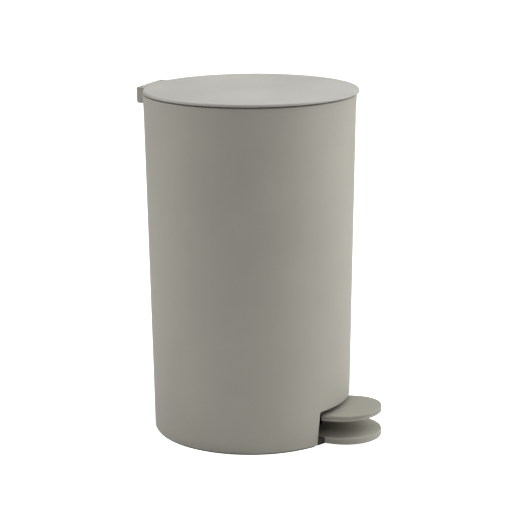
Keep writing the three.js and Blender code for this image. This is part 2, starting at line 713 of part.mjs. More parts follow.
function hingeKnuckle() {
  const under = LID_BOTTOM - GAP;
  const behindLid = cut(
    acrossPrism(blockOutline(), -BLOCK_HALF, BLOCK_HALF)
      .intersect(uprightPrism(blockPlan(), BLOCK_BOTTOM, BLOCK_TOP)),
    post(0, LID_CENTRE, LID_RADIUS + BLOCK_LID_GAP, under, BLOCK_TOP + OVERCUT, FINE),
  );
  const flange = block(
    [-BLOCK_HALF, FLANGE_FRONT, under - FLANGE_THICKNESS],
    [BLOCK_HALF, BLOCK_FRONT + ROOT, under],
  );
  const eye = [PIN_Y + CRANK_Y, PIN_Z + CRANK_Z];
  const crank = acrossPrism(linkShape([PIN_Y, PIN_Z], CRANK_HUB, eye, CRANK_EYE), -EYE_HALF, EYE_HALF);
  const bossHoles = [-1, 1].map((side) =>
    post(side * LID_SCREW_X, LID_SCREW_Y, LID_BOSS_RADIUS + GAP, LID_BOSS_BOTTOM - OVERCUT, LID_BOTTOM));
  return cut(
    joined(behindLid, flange, crank),
    ...[-1, 1].map(earRoom),
    ...[-1, 1].map(dimple),
    ...bossHoles,
    crossBar(PIN_Y, PIN_Z, PIN_BORE, -PIN_HALF - GAP, BLOCK_HALF + OVERCUT),
    crossBar(...eye, CRANK_HOLE, -EYE_HALF - OVERCUT, EYE_HALF + OVERCUT),
  );
}

place('hinge_knuckle', hingeKnuckle(), 'shell');

// ---------------------------------------------------------------- lid

/** Centres of the lid's bumpers. */
function bumperCentres() {
  return BUMPER_ANGLES.map((angle) => [
    BUMPER_PITCH_RADIUS * Math.cos(radians(angle)),
    BUMPER_PITCH_RADIUS * Math.sin(radians(angle)),
  ]);
}

function lidPanel() {
  const disc = turned(
    [
      [0, LID_BOTTOM],
      [LID_RADIUS - LID_UNDER_ROUND, LID_BOTTOM],
      [LID_RADIUS, LID_BOTTOM + LID_UNDER_ROUND],
      [LID_RADIUS, LID_TOP - LID_EDGE_ROUND],
      [LID_RADIUS - LID_EDGE_MIDDLE, LID_TOP - LID_EDGE_MIDDLE],
      [LID_RADIUS - LID_EDGE_ROUND, LID_TOP],
      [0, LID_TOP],
    ],
    FINE,
  ).translate([0, LID_CENTRE, 0]);
  const bosses = [-1, 1].map((side) =>
    post(side * LID_SCREW_X, LID_SCREW_Y, LID_BOSS_RADIUS, LID_BOSS_BOTTOM, LID_BOTTOM + ROOT));
  const pilots = [-1, 1].map((side) =>
    post(side * LID_SCREW_X, LID_SCREW_Y, SCREW_HOLE, LID_BOSS_BOTTOM - OVERCUT, LID_SCREW_TOP + GAP));
  const pockets = bumperCentres().map(([x, y]) =>
    post(x, y, BUMPER_RADIUS + GAP, LID_BOTTOM - OVERCUT, BUMPER_TOP + GAP, SLIM));
  return cut(joined(disc, ...bosses), ...pilots, ...pockets);
}

place('lid_panel', lidPanel(), 'lid');

function lidLiner() {
  const top = LID_BOTTOM - GAP;
  const tray = turned(
    [
      [0, top - LINER_PLATE],
      [LINER_RADIUS - LINER_SKIRT, top - LINER_PLATE],
      [LINER_RADIUS - LINER_SKIRT, top - LINER_DEPTH],
      [LINER_RADIUS, top - LINER_DEPTH],
      [LINER_RADIUS, top],
      [0, top],
    ],
    FINE,
  ).translate([0, LID_CENTRE, 0]);
  const flangeRoom = block(
    [-BLOCK_HALF - 2 * GAP, FLANGE_FRONT - 2 * GAP, top - LINER_DEPTH - OVERCUT],
    [BLOCK_HALF + 2 * GAP, LINER_RADIUS, top + OVERCUT],
  );
  return cut(tray, flangeRoom);
}

place('lid_liner', lidLiner(), 'inside');

for (const [side, name] of [[-1, 'left'], [1, 'right']]) {
  const headTop = LID_BOSS_BOTTOM - GAP;
  const head = post(side * LID_SCREW_X, LID_SCREW_Y, LID_SCREW_HEAD_RADIUS, headTop - SCREW_HEAD, headTop);
  const shank = post(side * LID_SCREW_X, LID_SCREW_Y, SCREW_RADIUS, headTop - ROOT, LID_SCREW_TOP, SLIM);
  place(`lid_screw_${name}`, head.add(shank), 'steel');
}

bumperCentres().forEach(([x, y], i) => {
  place(`lid_bumper_${i + 1}`, post(x, y, BUMPER_RADIUS, RIM_TOP + GAP, BUMPER_TOP, SLIM), 'soft');
});

// ---------------------------------------------------------------- inner bucket

function innerBucket() {
  const floor = BUCKET_BOTTOM + BUCKET_FLOOR;
  const beadLow = BUCKET_TOP - BUCKET_BEAD_HEIGHT;
  const shell = turned(
    [
      [0, BUCKET_BOTTOM],
      [BUCKET_RADIUS_LOW - BUCKET_FOOT_ROUND, BUCKET_BOTTOM],
      [BUCKET_RADIUS_LOW, BUCKET_BOTTOM + BUCKET_FOOT_ROUND],
      [BUCKET_RADIUS_HIGH, beadLow],
      [BUCKET_RADIUS_HIGH + BUCKET_BEAD, beadLow],
      [BUCKET_RADIUS_HIGH + BUCKET_BEAD, BUCKET_TOP],
      [BUCKET_RADIUS_HIGH - BUCKET_WALL, BUCKET_TOP],
      [BUCKET_RADIUS_LOW - BUCKET_WALL, floor + BUCKET_INNER_ROUND],
      [BUCKET_RADIUS_LOW - BUCKET_WALL - BUCKET_INNER_ROUND, floor],
      [0, floor],
    ],
    MEDIUM,
  );
  const bosses = [-1, 1].map((side) => {
    const ends = [side * (BUCKET_RADIUS_HIGH - ROOT), side * HANDLE_BOSS_END].sort((a, b) => a - b);
    return crossBar(0, HANDLE_Z, HANDLE_BOSS_RADIUS, ...ends);
  });
  const bores = crossBar(0, HANDLE_Z, HANDLE_WIRE + GAP, -HANDLE_RADIUS, HANDLE_RADIUS);
  return cut(joined(shell, ...bosses), bores).translate([0, BUCKET_CENTRE, 0]);
}

place('inner_bucket', innerBucket(), 'bucket');

/** The front part of the handle's circle, the given angle to each side. */
class HandleArc extends THREE.Curve {
  constructor(halfAngle) {
    super();
    this.halfAngle = halfAngle;
  }

  getPoint(t, target = new THREE.Vector3()) {
    const angle = -Math.PI / 2 + this.halfAngle * (2 * t - 1);
    return target.set(HANDLE_RADIUS * Math.cos(angle), HANDLE_RADIUS * Math.sin(angle), 0);
  }
}

/** A round bar along the handle's circle, with twice halfSides faces. */
function bentBar(radius, halfAngle, steps, halfSides) {
  const section = new THREE.Shape();
  section.absarc(0, 0, radius, 0, 2 * Math.PI, false);
  return solidOf(new THREE.ExtrudeGeometry(section, {
    extrudePath: new HandleArc(halfAngle),
    steps,
    bevelEnabled: false,
    curveSegments: halfSides,
  }));
}

function bucketHandle() {
  const ends = [-1, 1].map((side) => {
    const span = [side * (HANDLE_BOSS_END - HANDLE_TUCK), side * HANDLE_RADIUS].sort((a, b) => a - b);
    return crossBar(0, 0, HANDLE_WIRE, ...span).add(ball(side * HANDLE_RADIUS, 0, 0, HANDLE_WIRE));
  });
  const bow = bentBar(HANDLE_WIRE, Math.PI / 2, HANDLE_STEPS, 4);
  return joined(bow, ...ends).translate([0, BUCKET_CENTRE, HANDLE_Z]);
}

function handleGrip() {
  const halfAngle = radians(GRIP_HALF_ANGLE);
  const sleeve = bentBar(GRIP_RADIUS, halfAngle, GRIP_STEPS, 6);
  const bore = bentBar(HANDLE_WIRE + GAP, halfAngle * GRIP_BORE_REACH, GRIP_STEPS, 4);
  return cut(sleeve, bore).translate([0, BUCKET_CENTRE, HANDLE_Z]);
}

place('bucket_handle', bucketHandle(), 'steel');
place('handle_grip', handleGrip(), 'bucket');

// ---------------------------------------------------------------- centre the bin on its footprint

const FRONT_EDGE =
  AXLE_Y - (PEDAL_REACH + PEDAL_RADIUS) * Math.cos(PEDAL_TILT) + PARTING * Math.sin(PEDAL_TILT);
bin.position.y = -(FRONT_EDGE + BLOCK_BACK) / 2;
bin.updateMatrixWorld(true);

export default bin;
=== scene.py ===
"""A slim pedal bin: tapered tube, flat hinged lid, foot pedal, push rod and a lift-out inner bucket.

Everything is in metres in the row frame: +Z up, the pedal towards -Y, the lid hinge towards +Y.
"""
from math import acos, asin, atan2, cos, hypot, pi, radians, sin, tan

import bmesh
import bpy
from mathutils import Matrix, Vector


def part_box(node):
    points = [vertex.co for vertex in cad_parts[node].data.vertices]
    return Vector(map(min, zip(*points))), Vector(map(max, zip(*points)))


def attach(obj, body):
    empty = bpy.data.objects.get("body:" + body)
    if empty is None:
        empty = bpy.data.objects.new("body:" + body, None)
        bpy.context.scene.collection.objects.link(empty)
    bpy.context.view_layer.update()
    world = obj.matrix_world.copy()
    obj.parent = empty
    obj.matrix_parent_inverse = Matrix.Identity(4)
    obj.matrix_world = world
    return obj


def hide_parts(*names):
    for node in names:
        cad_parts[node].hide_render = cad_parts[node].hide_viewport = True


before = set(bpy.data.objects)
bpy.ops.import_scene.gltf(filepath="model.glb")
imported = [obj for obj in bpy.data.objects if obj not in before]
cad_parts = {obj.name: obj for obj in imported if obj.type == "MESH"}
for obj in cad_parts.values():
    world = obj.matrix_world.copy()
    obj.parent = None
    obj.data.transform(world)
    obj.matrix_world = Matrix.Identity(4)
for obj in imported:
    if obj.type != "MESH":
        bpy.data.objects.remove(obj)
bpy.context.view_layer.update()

MM = 0.001
FINE = 256  # sides of the tube and the lid
MEDIUM = 128  # sides of the bucket, the foot and the tread
SMALL = 48  # sides of pins, wires and screws

# ------------------------------------------------------------------ places taken from the frame

lid_low, lid_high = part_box("lid_panel")
pin_low, pin_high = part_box("hinge_pin")
axle_low, axle_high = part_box("pedal_axle")
rod_low, rod_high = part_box("push_rod")
bucket_low, bucket_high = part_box("inner_bucket")
tube_low, tube_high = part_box("outer_body")
base_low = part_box("base_plate")[0]
cover_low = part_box("mechanism_cover")[0]
bracket_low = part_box("hinge_bracket")[0]
knuckle_low, knuckle_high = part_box("hinge_knuckle")
liner_low, liner_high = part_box("lid_liner")
sole_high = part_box("anti_slip_ring")[1]

LID_RADIUS = (lid_high.x - lid_low.x) / 2
LID_Y = (lid_high.y + lid_low.y) / 2
LID_TOP = lid_high.z
LID_THICKNESS = 2.3 * MM
LID_BOTTOM = LID_TOP - LID_THICKNESS
TUBE_Y = LID_Y + 1.2 * MM  # the lid sits that much further forward than the tube
RIM_TOP = tube_high.z
TUBE_BOTTOM = tube_low.z
RIM_RADIUS = (tube_high.x - tube_low.x) / 2
RIM_FLARE = 0.7 * MM
TUBE_WALL = 1.8 * MM
DRAFT = 4.4 * MM / RIM_TOP  # how fast the tube widens with height
PIN_Y = (pin_low.y + pin_high.y) / 2
PIN_Z = (pin_low.z + pin_high.z) / 2
PIN_RADIUS = (pin_high.z - pin_low.z) / 2
AXLE_Y = (axle_low.y + axle_high.y) / 2
AXLE_Z = (axle_low.z + axle_high.z) / 2
AXLE_RADIUS = (axle_high.z - axle_low.z) / 2
ROD_RADIUS = 1.5 * MM
ROD_X = rod_low.x + ROD_RADIUS
ROD_Y = (rod_low.y + rod_high.y) / 2
ROD_LOW_Z = rod_low.z + ROD_RADIUS
ROD_HIGH_Z = rod_high.z - ROD_RADIUS
BUCKET_Y = TUBE_Y - 3 * MM
BASE_TOP = 5.85 * MM
BASE_RADIUS = 78.5 * MM
FOOT_Y = TUBE_Y - 81.3 * MM
FOOT_BACK = TUBE_Y - 60 * MM
FOOT_RADIUS = 29.8 * MM
FOOT_GAP = 0.3 * MM  # between the foot and the tray's pocket for it
PAD_Y = TUBE_Y - 86 * MM
PAD_RADIUS = 20 * MM
WINDOW_HALF = 23.8 * MM
WINDOW_BOTTOM = 265.4 * MM
PILLAR_CIRCLE = 75.5 * MM
PILLAR_ANGLES = [radians(45 + 90 * i) for i in range(4)]
PILLARS = [(PILLAR_CIRCLE * cos(a), TUBE_Y + PILLAR_CIRCLE * sin(a)) for a in PILLAR_ANGLES]
BRACKET_SCREW_X = 11.5 * MM
BRACKET_SCREW_Z = 250 * MM
LID_SCREW_X = 15 * MM
LID_SCREW_Y = TUBE_Y + 71 * MM
PILOT_RADIUS = 1.5 * MM  # the hole a screw cuts its thread in
RUNNING_GAP = 0.3 * MM  # round a pin or an axle that something turns on
ROD_GAP = 0.5 * MM  # round the push rod
CLIP_GAP = 0.05 * MM  # between a clip and the rod or axle it grips


def tube_radius(z):
    """Outer radius of the plain tube at a height."""
    return RIM_RADIUS - RIM_FLARE - DRAFT * (RIM_TOP - z)


# ------------------------------------------------------------------ mesh tools


def add_object(name, mesh):
    piece = bpy.data.objects.new(name, mesh)
    bpy.context.scene.collection.objects.link(piece)
    return piece


def to_object(name, bm):
    """The bmesh as an object, with its faces pointing out."""
    bmesh.ops.recalc_face_normals(bm, faces=bm.faces)
    mesh = bpy.data.meshes.new(name)
    bm.to_mesh(mesh)
    bm.free()
    return add_object(name, mesh)


def fillet(before, corner, after, radius, steps=6):
    """The points of an arc of that radius in place of a corner."""
    to_before = (before - corner).normalized()
    to_after = (after - corner).normalized()
    opening = acos(max(-1.0, min(1.0, to_before.dot(to_after))))
    reach = radius / tan(opening / 2)
    start = corner + to_before * reach
    end = corner + to_after * reach
    centre = corner + (to_before + to_after).normalized() * (radius / sin(opening / 2))
    first, last = start - centre, end - centre
    turn = atan2(first.cross(last), first.dot(last))
    return [centre + Matrix.Rotation(turn * i / steps, 2) @ first for i in range(steps + 1)]


def outline(points):
    """Points from (x, y) or (x, y, fillet radius), with the fillets drawn in."""
    corners = [Vector(p[:2]) for p in points]
    radii = [p[2] if len(p) > 2 else 0 for p in points]
    drawn = []
    for i, (corner, radius) in enumerate(zip(corners, radii)):
        if radius == 0:
            drawn.append(corner)
        else:
            after = corners[(i + 1) % len(corners)]
            drawn += fillet(corners[i - 1], corner, after, radius)
    return drawn


def divided(points, longest, closed):
    """The points with more put in so that no step is longer than that."""
    following = points[1:] + ([points[0]] if closed else [])
    drawn = []
    for start, end in zip(points, following):
        steps = max(1, round((end - start).length / longest))
        drawn += [start.lerp(end, k / steps) for k in range(steps)]
    return drawn if closed else drawn + [points[-1]]


ON_AXIS = 1e-7  # a radius smaller than this is a point on the axis


def circle(u, v, radius, sides=SMALL):
    """Points round a centre."""
    angles = [2 * pi * k / sides for k in range(sides)]
    return [(u + radius * cos(a), v + radius * sin(a)) for a in angles]


def turned(name, points, sides, centre=(0, 0), closed=False, longest=None):
    """A solid of revolution about an upright axis from (radius, z[, fillet]) points."""
    bm = bmesh.new()
    rings = []
    drawn = outline(points)
    if longest:
        drawn = divided(drawn, longest, closed)
    for radius, z in drawn:
        if radius < ON_AXIS:
            rings.append([bm.verts.new((*centre, z))] * sides)
        else:
            places = circle(*centre, radius, sides)
            rings.append([bm.verts.new((x, y, z)) for x, y in places])
    following = rings[1:] + ([rings[0]] if closed else [])
    for low, high in zip(rings, following):
        for k in range(sides):
            ring = [low[k], low[(k + 1) % sides], high[(k + 1) % sides], high[k]]
            corners = list(dict.fromkeys(ring))
            if len(corners) > 2:
                bm.faces.new(corners)
    return to_object(name, bm)


AXES = {
    "X": lambda u, v, w: (w, u, v),
    "Y": lambda u, v, w: (u, w, v),
    "Z": lambda u, v, w: (u, v, w),
}


def prism(name, points, low, high, along="Z"):
    """A flat outline carried along an axis: outlines are (y, z), (x, z) or (x, y)."""
    place = AXES[along]
    drawn = outline(points)
    bm = bmesh.new()
    ends = [[bm.verts.new(place(p.x, p.y, level)) for p in drawn] for level in (low, high)]
    for end in ends:
        bm.faces.new(end)
    for k in range(len(drawn)):
        following = (k + 1) % len(drawn)
        bm.faces.new([ends[0][k], ends[0][following], ends[1][following], ends[1][k]])
    return to_object(name, bm)


def box_solid(name, low, high):
    """A box between two corners."""
    corners = [(low[0], low[1]), (high[0], low[1]), (high[0], high[1]), (low[0], high[1])]
    return prism(name, corners, low[2], high[2])


def bar(name, u, v, radius, low, high, along="X", sides=SMALL):
    """A round bar along an axis."""
    return prism(name, circle(u, v, radius, sides), low, high, along)


def bake(piece):
    """Turns a piece's modifiers into its mesh."""
    evaluated = piece.evaluated_get(bpy.context.evaluated_depsgraph_get())
    mesh = bpy.data.meshes.new_from_object(evaluated)
    piece.modifiers.clear()
    piece.data = mesh
    return piece


def combine(piece, others, operation):
    """Joins other pieces to one or takes them away from it, and uses them up."""
    for other in others:
        step = piece.modifiers.new(operation.lower(), "BOOLEAN")
        step.object = other
        step.operation = operation
        step.solver = "EXACT"
        bake(piece)
        bpy.data.objects.remove(other)
    return piece


def cut(piece, *others):
    return combine(piece, others, "DIFFERENCE")


def join(piece, *others):
    return combine(piece, others, "UNION")


def soften(piece, width, segments=3, angle=40):
    """Rounds the sharp edges and shades the rest smooth."""
    if width:
        step = piece.modifiers.new("soften", "BEVEL")
        step.width = width
        step.segments = segments
        step.limit_method = "ANGLE"
        step.angle_limit = radians(angle)
        step.miter_outer = "MITER_ARC"
        bake(piece)
    piece.data.shade_smooth()
    piece.data.set_sharp_from_angle(angle=radians(angle))
    return piece


def add_ring(bm, centre, across, up, radius, sides):
    """A ring of vertices about a centre, in the plane of two unit vectors."""
    angles = [2 * pi * k / sides for k in range(sides)]
    return [bm.verts.new(centre + (across * cos(a) + up * sin(a)) * radius) for a in angles]


def add_skin(bm, rings):
    """Faces from each ring to the next, with the two ends closed."""
    for low, high in zip(rings, rings[1:]):
        for k in range(len(low)):
            following = (k + 1) % len(low)
            bm.faces.new([low[k], low[following], high[following], high[k]])
    bm.faces.new(rings[0])
    bm.faces.new(rings[-1])


def wire(name, points, radius, sides=16):
    """A round wire along points, with closed ends."""
    bm = bmesh.new()
    rings = []
    normal = None
    for i, point in enumerate(points):
        ahead = points[min(i + 1, len(points) - 1)] - points[max(i - 1, 0)]
        tangent = ahead.normalized()
        if normal is None:
            normal = tangent.orthogonal().normalized()
        normal = (normal - tangent * normal.dot(tangent)).normalized()
        rings.append(add_ring(bm, point, normal, tangent.cross(normal), radius, sides))
    add_skin(bm, rings)
    return to_object(name, bm)


def bend(corner, start, end, radius, steps=8):
    """Points of a round bend in 3D between two directions from a corner."""
    plane_x = (start - corner).normalized()
    plane_y = (end - corner).normalized()
    flat = fillet(Vector((1, 0)), Vector((0, 0)), Vector((0, 1)), radius, steps)
    return [corner + plane_x * p.x + plane_y * p.y for p in flat]


def settle(piece, body, slot, material, *nodes):
    """Finishes a piece: its material, the body it rides on and the nodes it stands for."""
    piece.data.materials.clear()
    piece.data.materials.append(material)
    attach(piece, body)
    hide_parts(*nodes)
    return piece


# ------------------------------------------------------------------ materials


def start_material(name):
    """A new material with its nodes, its links and its shader."""
    material = bpy.data.materials.new(name)
    material.use_nodes = True
    nodes, links = material.node_tree.nodes, material.node_tree.links
    return material, nodes, links, nodes["Principled BSDF"]


def noise(nodes, links, place, size, detail=3.0, stretch=None):
    """Noise with features of about that size, in metres, stretched along the axes if asked."""
    texture = nodes.new("ShaderNodeTexNoise")
    texture.inputs["Scale"].default_value = 1 / size
    texture.inputs["Detail"].default_value = detail
    source = place.outputs["Object"]
    if stretch:
        mapping = nodes.new("ShaderNodeMapping")
        mapping.inputs["Scale"].default_value = stretch
        links.new(source, mapping.inputs["Vector"])
        source = mapping.outputs["Vector"]
    links.new(source, texture.inputs["Vector"])
    return texture.outputs["Fac"]


def ranged(nodes, links, factor, low, high, start=0.3, end=0.7):
    """The factor, spread from low to high."""
    spread = nodes.new("ShaderNodeMapRange")
    spread.inputs["From Min"].default_value = start
    spread.inputs["From Max"].default_value = end
    spread.inputs["To Min"].default_value = low
    spread.inputs["To Max"].default_value = high
    links.new(factor, spread.inputs["Value"])
    return spread.outputs["Result"]


def blended(nodes, links, factor, first, second):
    """A colour between two others; each is a colour or a socket."""
    mix = nodes.new("ShaderNodeMix")
    mix.data_type = "RGBA"
    links.new(factor, mix.inputs["Factor"])
    for source, socket in ((first, mix.inputs[6]), (second, mix.inputs[7])):
        if isinstance(source, tuple):
            socket.default_value = (*source, 1)
        else:
            links.new(source, socket)
    return mix.outputs[2]


def relief(nodes, links, shader, heights):
    """Bumps one over another: (height factor, depth in metres, strength)."""
    normal = None
    for height, depth, strength in heights:
        bump = nodes.new("ShaderNodeBump")
        bump.inputs["Strength"].default_value = strength
        bump.inputs["Distance"].default_value = depth
        links.new(height, bump.inputs["Height"])
        if normal:
            links.new(normal, bump.inputs["Normal"])
        normal = bump.outputs["Normal"]
    links.new(normal, shader.inputs["Normal"])


def scaled(colour, factor):
    return tuple(channel * factor for channel in colour)


PLASTIC_SPECULAR = 0.4
PORE_DEPTH = 0.02 * MM
PORE_STRENGTH = 0.6


def moulded(name, colour, rough=(0.5, 0.62), grain=0.45 * MM, mottle=0.035):
    """Matte moulded plastic: a fine spark-eroded grain, faint cloudiness and uneven sheen."""
    material, nodes, links, shader = start_material(name)
    place = nodes.new("ShaderNodeTexCoord")
    cloud = noise(nodes, links, place, 38 * MM, 2)
    speck = noise(nodes, links, place, 1.1 * MM, 2)
    pores = noise(nodes, links, place, grain, 4)
    ripple = noise(nodes, links, place, 55 * MM, 1)
    mottled = ranged(nodes, links, cloud, 0, 1)
    tone = blended(nodes, links, mottled, scaled(colour, 1 - mottle), scaled(colour, 1 + mottle))
    flecked = blended(nodes, links, ranged(nodes, links, speck, 0, 0.35), tone, scaled(colour, 0.93))
    links.new(flecked, shader.inputs["Base Color"])
    links.new(ranged(nodes, links, cloud, *rough), shader.inputs["Roughness"])
    shader.inputs["Specular IOR Level"].default_value = PLASTIC_SPECULAR
    relief(nodes, links, shader, [(ripple, 0.12 * MM, 0.25), (pores, PORE_DEPTH, PORE_STRENGTH)])
    return material


def tread_plastic(name, colour):
    """The shell's plastic as a foot leaves it: polished in the middle, with faint scuffs across it."""
    material, nodes, links, shader = start_material(name)
    place = nodes.new("ShaderNodeTexCoord")
    scuffs = noise(nodes, links, place, 3 * MM, 4, stretch=(0.35, 2.2, 1))
    cloud = noise(nodes, links, place, 24 * MM, 2)
    pores = noise(nodes, links, place, 0.45 * MM, 4)
    worn = ranged(nodes, links, scuffs, 0, 0.3, 0.52, 0.75)
    scuffed = blended(nodes, links, worn, scaled(colour, 0.99), scaled(colour, 1.12))
    tone = blended(nodes, links, ranged(nodes, links, cloud, 0, 0.4), scuffed, scaled(colour, 0.94))
    links.new(tone, shader.inputs["Base Color"])
    links.new(ranged(nodes, links, scuffs, 0.6, 0.46), shader.inputs["Roughness"])
    shader.inputs["Specular IOR Level"].default_value = PLASTIC_SPECULAR
    relief(nodes, links, shader, [(pores, PORE_DEPTH, PORE_STRENGTH)])
    return material


def soft_rubber(name, colour):
    """Dark elastomer with a dusty, slightly pitted skin."""
    material, nodes, links, shader = start_material(name)
    place = nodes.new("ShaderNodeTexCoord")
    dust = noise(nodes, links, place, 6 * MM, 5)
    pits = noise(nodes, links, place, 0.5 * MM, 4)
    dusty = ranged(nodes, links, dust, 0, 0.5, 0.45, 0.8)
    tone = blended(nodes, links, dusty, colour, scaled(colour, 2.2))
    links.new(tone, shader.inputs["Base Color"])
    links.new(ranged(nodes, links, dust, 0.75, 0.92), shader.inputs["Roughness"])
    relief(nodes, links, shader, [(pits, 0.05 * MM, 0.5)])
    return material


def drawn_steel(name, colour, along):
    """Bright steel with fine draw lines along one axis and a little dulling."""
    material, nodes, links, shader = start_material(name)
    place = nodes.new("ShaderNodeTexCoord")
    stretch = tuple(0.04 if axis == along else 1.0 for axis in "XYZ")
    lines = noise(nodes, links, place, 0.3 * MM, 3, stretch=stretch)
    dulling = noise(nodes, links, place, 9 * MM, 4)
    tone = blended(nodes, links, ranged(nodes, links, dulling, 0, 1), scaled(colour, 0.82), colour)
    links.new(tone, shader.inputs["Base Color"])
    shader.inputs["Metallic"].default_value = 1
    links.new(ranged(nodes, links, lines, 0.24, 0.42), shader.inputs["Roughness"])
    relief(nodes, links, shader, [(lines, 0.015 * MM, 0.5)])
    return material


GREIGE = (0.405, 0.388, 0.338)
GREIGE_LID = (0.408, 0.400, 0.372)
# the shell's greige scaled down to about 0.81: painted shade for the parts inside the tube and under the
# lid
GREIGE_SHADED = (0.33, 0.315, 0.275)
CHARCOAL = (0.045, 0.043, 0.040)
BLACK_RUBBER = (0.02, 0.019, 0.017)
WIRE_STEEL = (0.62, 0.63, 0.64)
SCREW_STEEL = (0.55, 0.55, 0.54)

shell_plastic = moulded("shell_plastic", GREIGE)
lid_plastic = moulded("lid_plastic", GREIGE_LID, rough=(0.52, 0.64), grain=0.4 * MM)
# the shell's plastic in the darkened greige: painted shade for the cover, the hinge bracket and the lid
# liner
shaded_inside_plastic = moulded("shaded_inside_plastic", GREIGE_SHADED, rough=(0.55, 0.68), mottle=0.05)
# near-black, darker than the bucket's charcoal: painted shade for the dark recess under the pedal, seen
# through the cut-out
base_painted_shade = moulded(
    "base_painted_shade", scaled(CHARCOAL, 0.7), rough=(0.55, 0.7), grain=0.6 * MM, mottle=0.08
)
bucket_plastic = moulded("bucket_plastic", CHARCOAL, rough=(0.38, 0.5), grain=0.6 * MM, mottle=0.08)
pedal_plastic = tread_plastic("pedal_plastic", scaled(GREIGE, 0.93))
dark_rubber = soft_rubber("dark_rubber", BLACK_RUBBER)
steel_along_x = drawn_steel("steel_along_x", WIRE_STEEL, "X")
steel_along_z = drawn_steel("steel_along_z", WIRE_STEEL, "Z")
steel_turned = drawn_steel("steel_turned", SCREW_STEEL, "Y")

# ------------------------------------------------------------------ outer tube


def rod_guide(middle):
    """A lug on the back wall, at that height, that the push rod slides through."""
    half_width, half_height = 4.4 * MM, 4 * MM
    front = ROD_Y - 3 * MM
    back = TUBE_Y + tube_radius(middle) - TUBE_WALL + 0.6 * MM  # a little way into the wall
    low, high = middle - half_height, middle + half_height
    lug = box_solid("guide", (ROD_X - half_width, front, low), (ROD_X + half_width, back, high))
    return cut(lug, bar("bore", ROD_X, ROD_Y, ROD_RADIUS + ROD_GAP, low - MM, high + MM, "Z"))


PAD_FRONT = TUBE_Y + 80.5 * MM
PAD_BACK = TUBE_Y + 82.6 * MM


def bracket_pad(side):
    """A thicker patch of the back wall for one of the bracket's screws."""
    middle, half_width, half_height = side * BRACKET_SCREW_X, 4.5 * MM, 6 * MM
    return box_solid(
        "pad",
        (middle - half_width, PAD_FRONT, BRACKET_SCREW_Z - half_height),
        (middle + half_width, PAD_BACK, BRACKET_SCREW_Z + half_height),
    )


def build_tube():
    """The tapered tube with its rim, the pedal's cut-out below and the hinge's window above."""
    flare_start = RIM_TOP - 10 * MM
    inner_low = tube_radius(0) - TUBE_WALL
    inner_high = tube_radius(RIM_TOP) - TUBE_WALL
    tube = turned(
        "tube",
        [
            (inner_low, TUBE_BOTTOM, 0.3 * MM),
            (tube_radius(0), TUBE_BOTTOM, 1.2 * MM),
            (tube_radius(flare_start), flare_start, 150 * MM),
            (RIM_RADIUS, RIM_TOP, 1.0 * MM),
            (inner_high, RIM_TOP, 0.6 * MM),
        ],
        FINE,
        (0, TUBE_Y),
        closed=True,
        longest=9 * MM,
    )
    pillars = [bar("pillar", x, y, 4.2 * MM, 6.2 * MM, 30 * MM, "Z") for x, y in PILLARS]
    guides = [rod_guide(90 * MM), rod_guide(180 * MM)]
    pads = [bracket_pad(-1), bracket_pad(1)]
    join(tube, *pillars, *guides, *pads)
    half_low, half_high, cutout_top, cutout_round = 38.25 * MM, 35.9 * MM, 28.6 * MM, 1.6 * MM
    cutout = prism(
        "cutout",
        [
            (-half_low, -MM),
            (half_low, -MM),
            (half_high, cutout_top, cutout_round),
            (-half_high, cutout_top, cutout_round),
        ],
        TUBE_Y - 95 * MM,
        TUBE_Y - 60 * MM,
        "Y",
    )
    window_top, window_round = RIM_TOP + 5 * MM, 1.5 * MM
    window = prism(
        "window",
        [
            (-WINDOW_HALF, WINDOW_BOTTOM, window_round),
            (WINDOW_HALF, WINDOW_BOTTOM, window_round),
            (WINDOW_HALF, window_top),
            (-WINDOW_HALF, window_top),
        ],
        TUBE_Y + 70 * MM,
        TUBE_Y + 95 * MM,
        "Y",
    )
    pilots = [bar("pilot", x, y, PILOT_RADIUS, 5 * MM, 20 * MM, "Z") for x, y in PILLARS]
    pad_pilots = [
        bar(
            "pilot", side * BRACKET_SCREW_X, BRACKET_SCREW_Z, PILOT_RADIUS,
            PAD_FRONT - 0.5 * MM, PAD_BACK - 0.3 * MM, "Y",
        )
        for side in (-1, 1)
    ]
    cut(tube, cutout, window, *pilots, *pad_pilots)
    soften(tube, 0.35 * MM)
    return settle(tube, "root", "shell", shell_plastic, "outer_body")


build_tube()

# ------------------------------------------------------------------ base


def axle_bearing(side):
    """An upright with a round eye that holds one end of the pedal's axle."""
    low, high = sorted((side * 12 * MM, side * 18 * MM))
    foot_half, eye_radius, bottom = 7 * MM, 4.5 * MM, BASE_TOP - MM
    foot = box_solid(
        "bearing", (low, AXLE_Y - foot_half, bottom), (high, AXLE_Y + foot_half, BASE_TOP + 4 * MM)
    )
    neck = box_solid("neck", (low, AXLE_Y - eye_radius, bottom), (high, AXLE_Y + eye_radius, AXLE_Z))
    join(foot, neck, bar("eye", AXLE_Y, AXLE_Z, eye_radius, low, high))
    return cut(foot, bar("bore", AXLE_Y, AXLE_Z, AXLE_RADIUS + RUNNING_GAP, low - MM, high + MM))


def tongue(centre, radius, back, steps=96):
    """The outline of a tongue: round at the front, with straight sides that run back."""
    angles = [pi + pi * k / steps for k in range(steps + 1)]
    nose = [(radius * cos(a), centre + radius * sin(a)) for a in angles]
    return [*nose, (radius, back), (-radius, back)]


def sill_outline(steps=48):
    """The tray's edge across the pedal's cut-out: an arc just inside the tube, with straight sides."""
    radius, half = 80.3 * MM, 37.2 * MM
    spread = asin(half / radius)
    angles = [-spread + 2 * spread * k / steps for k in range(steps + 1)]
    front = [(radius * sin(a), TUBE_Y - radius * cos(a)) for a in angles]
    return [*front, (half, FOOT_BACK), (-half, FOOT_BACK)]


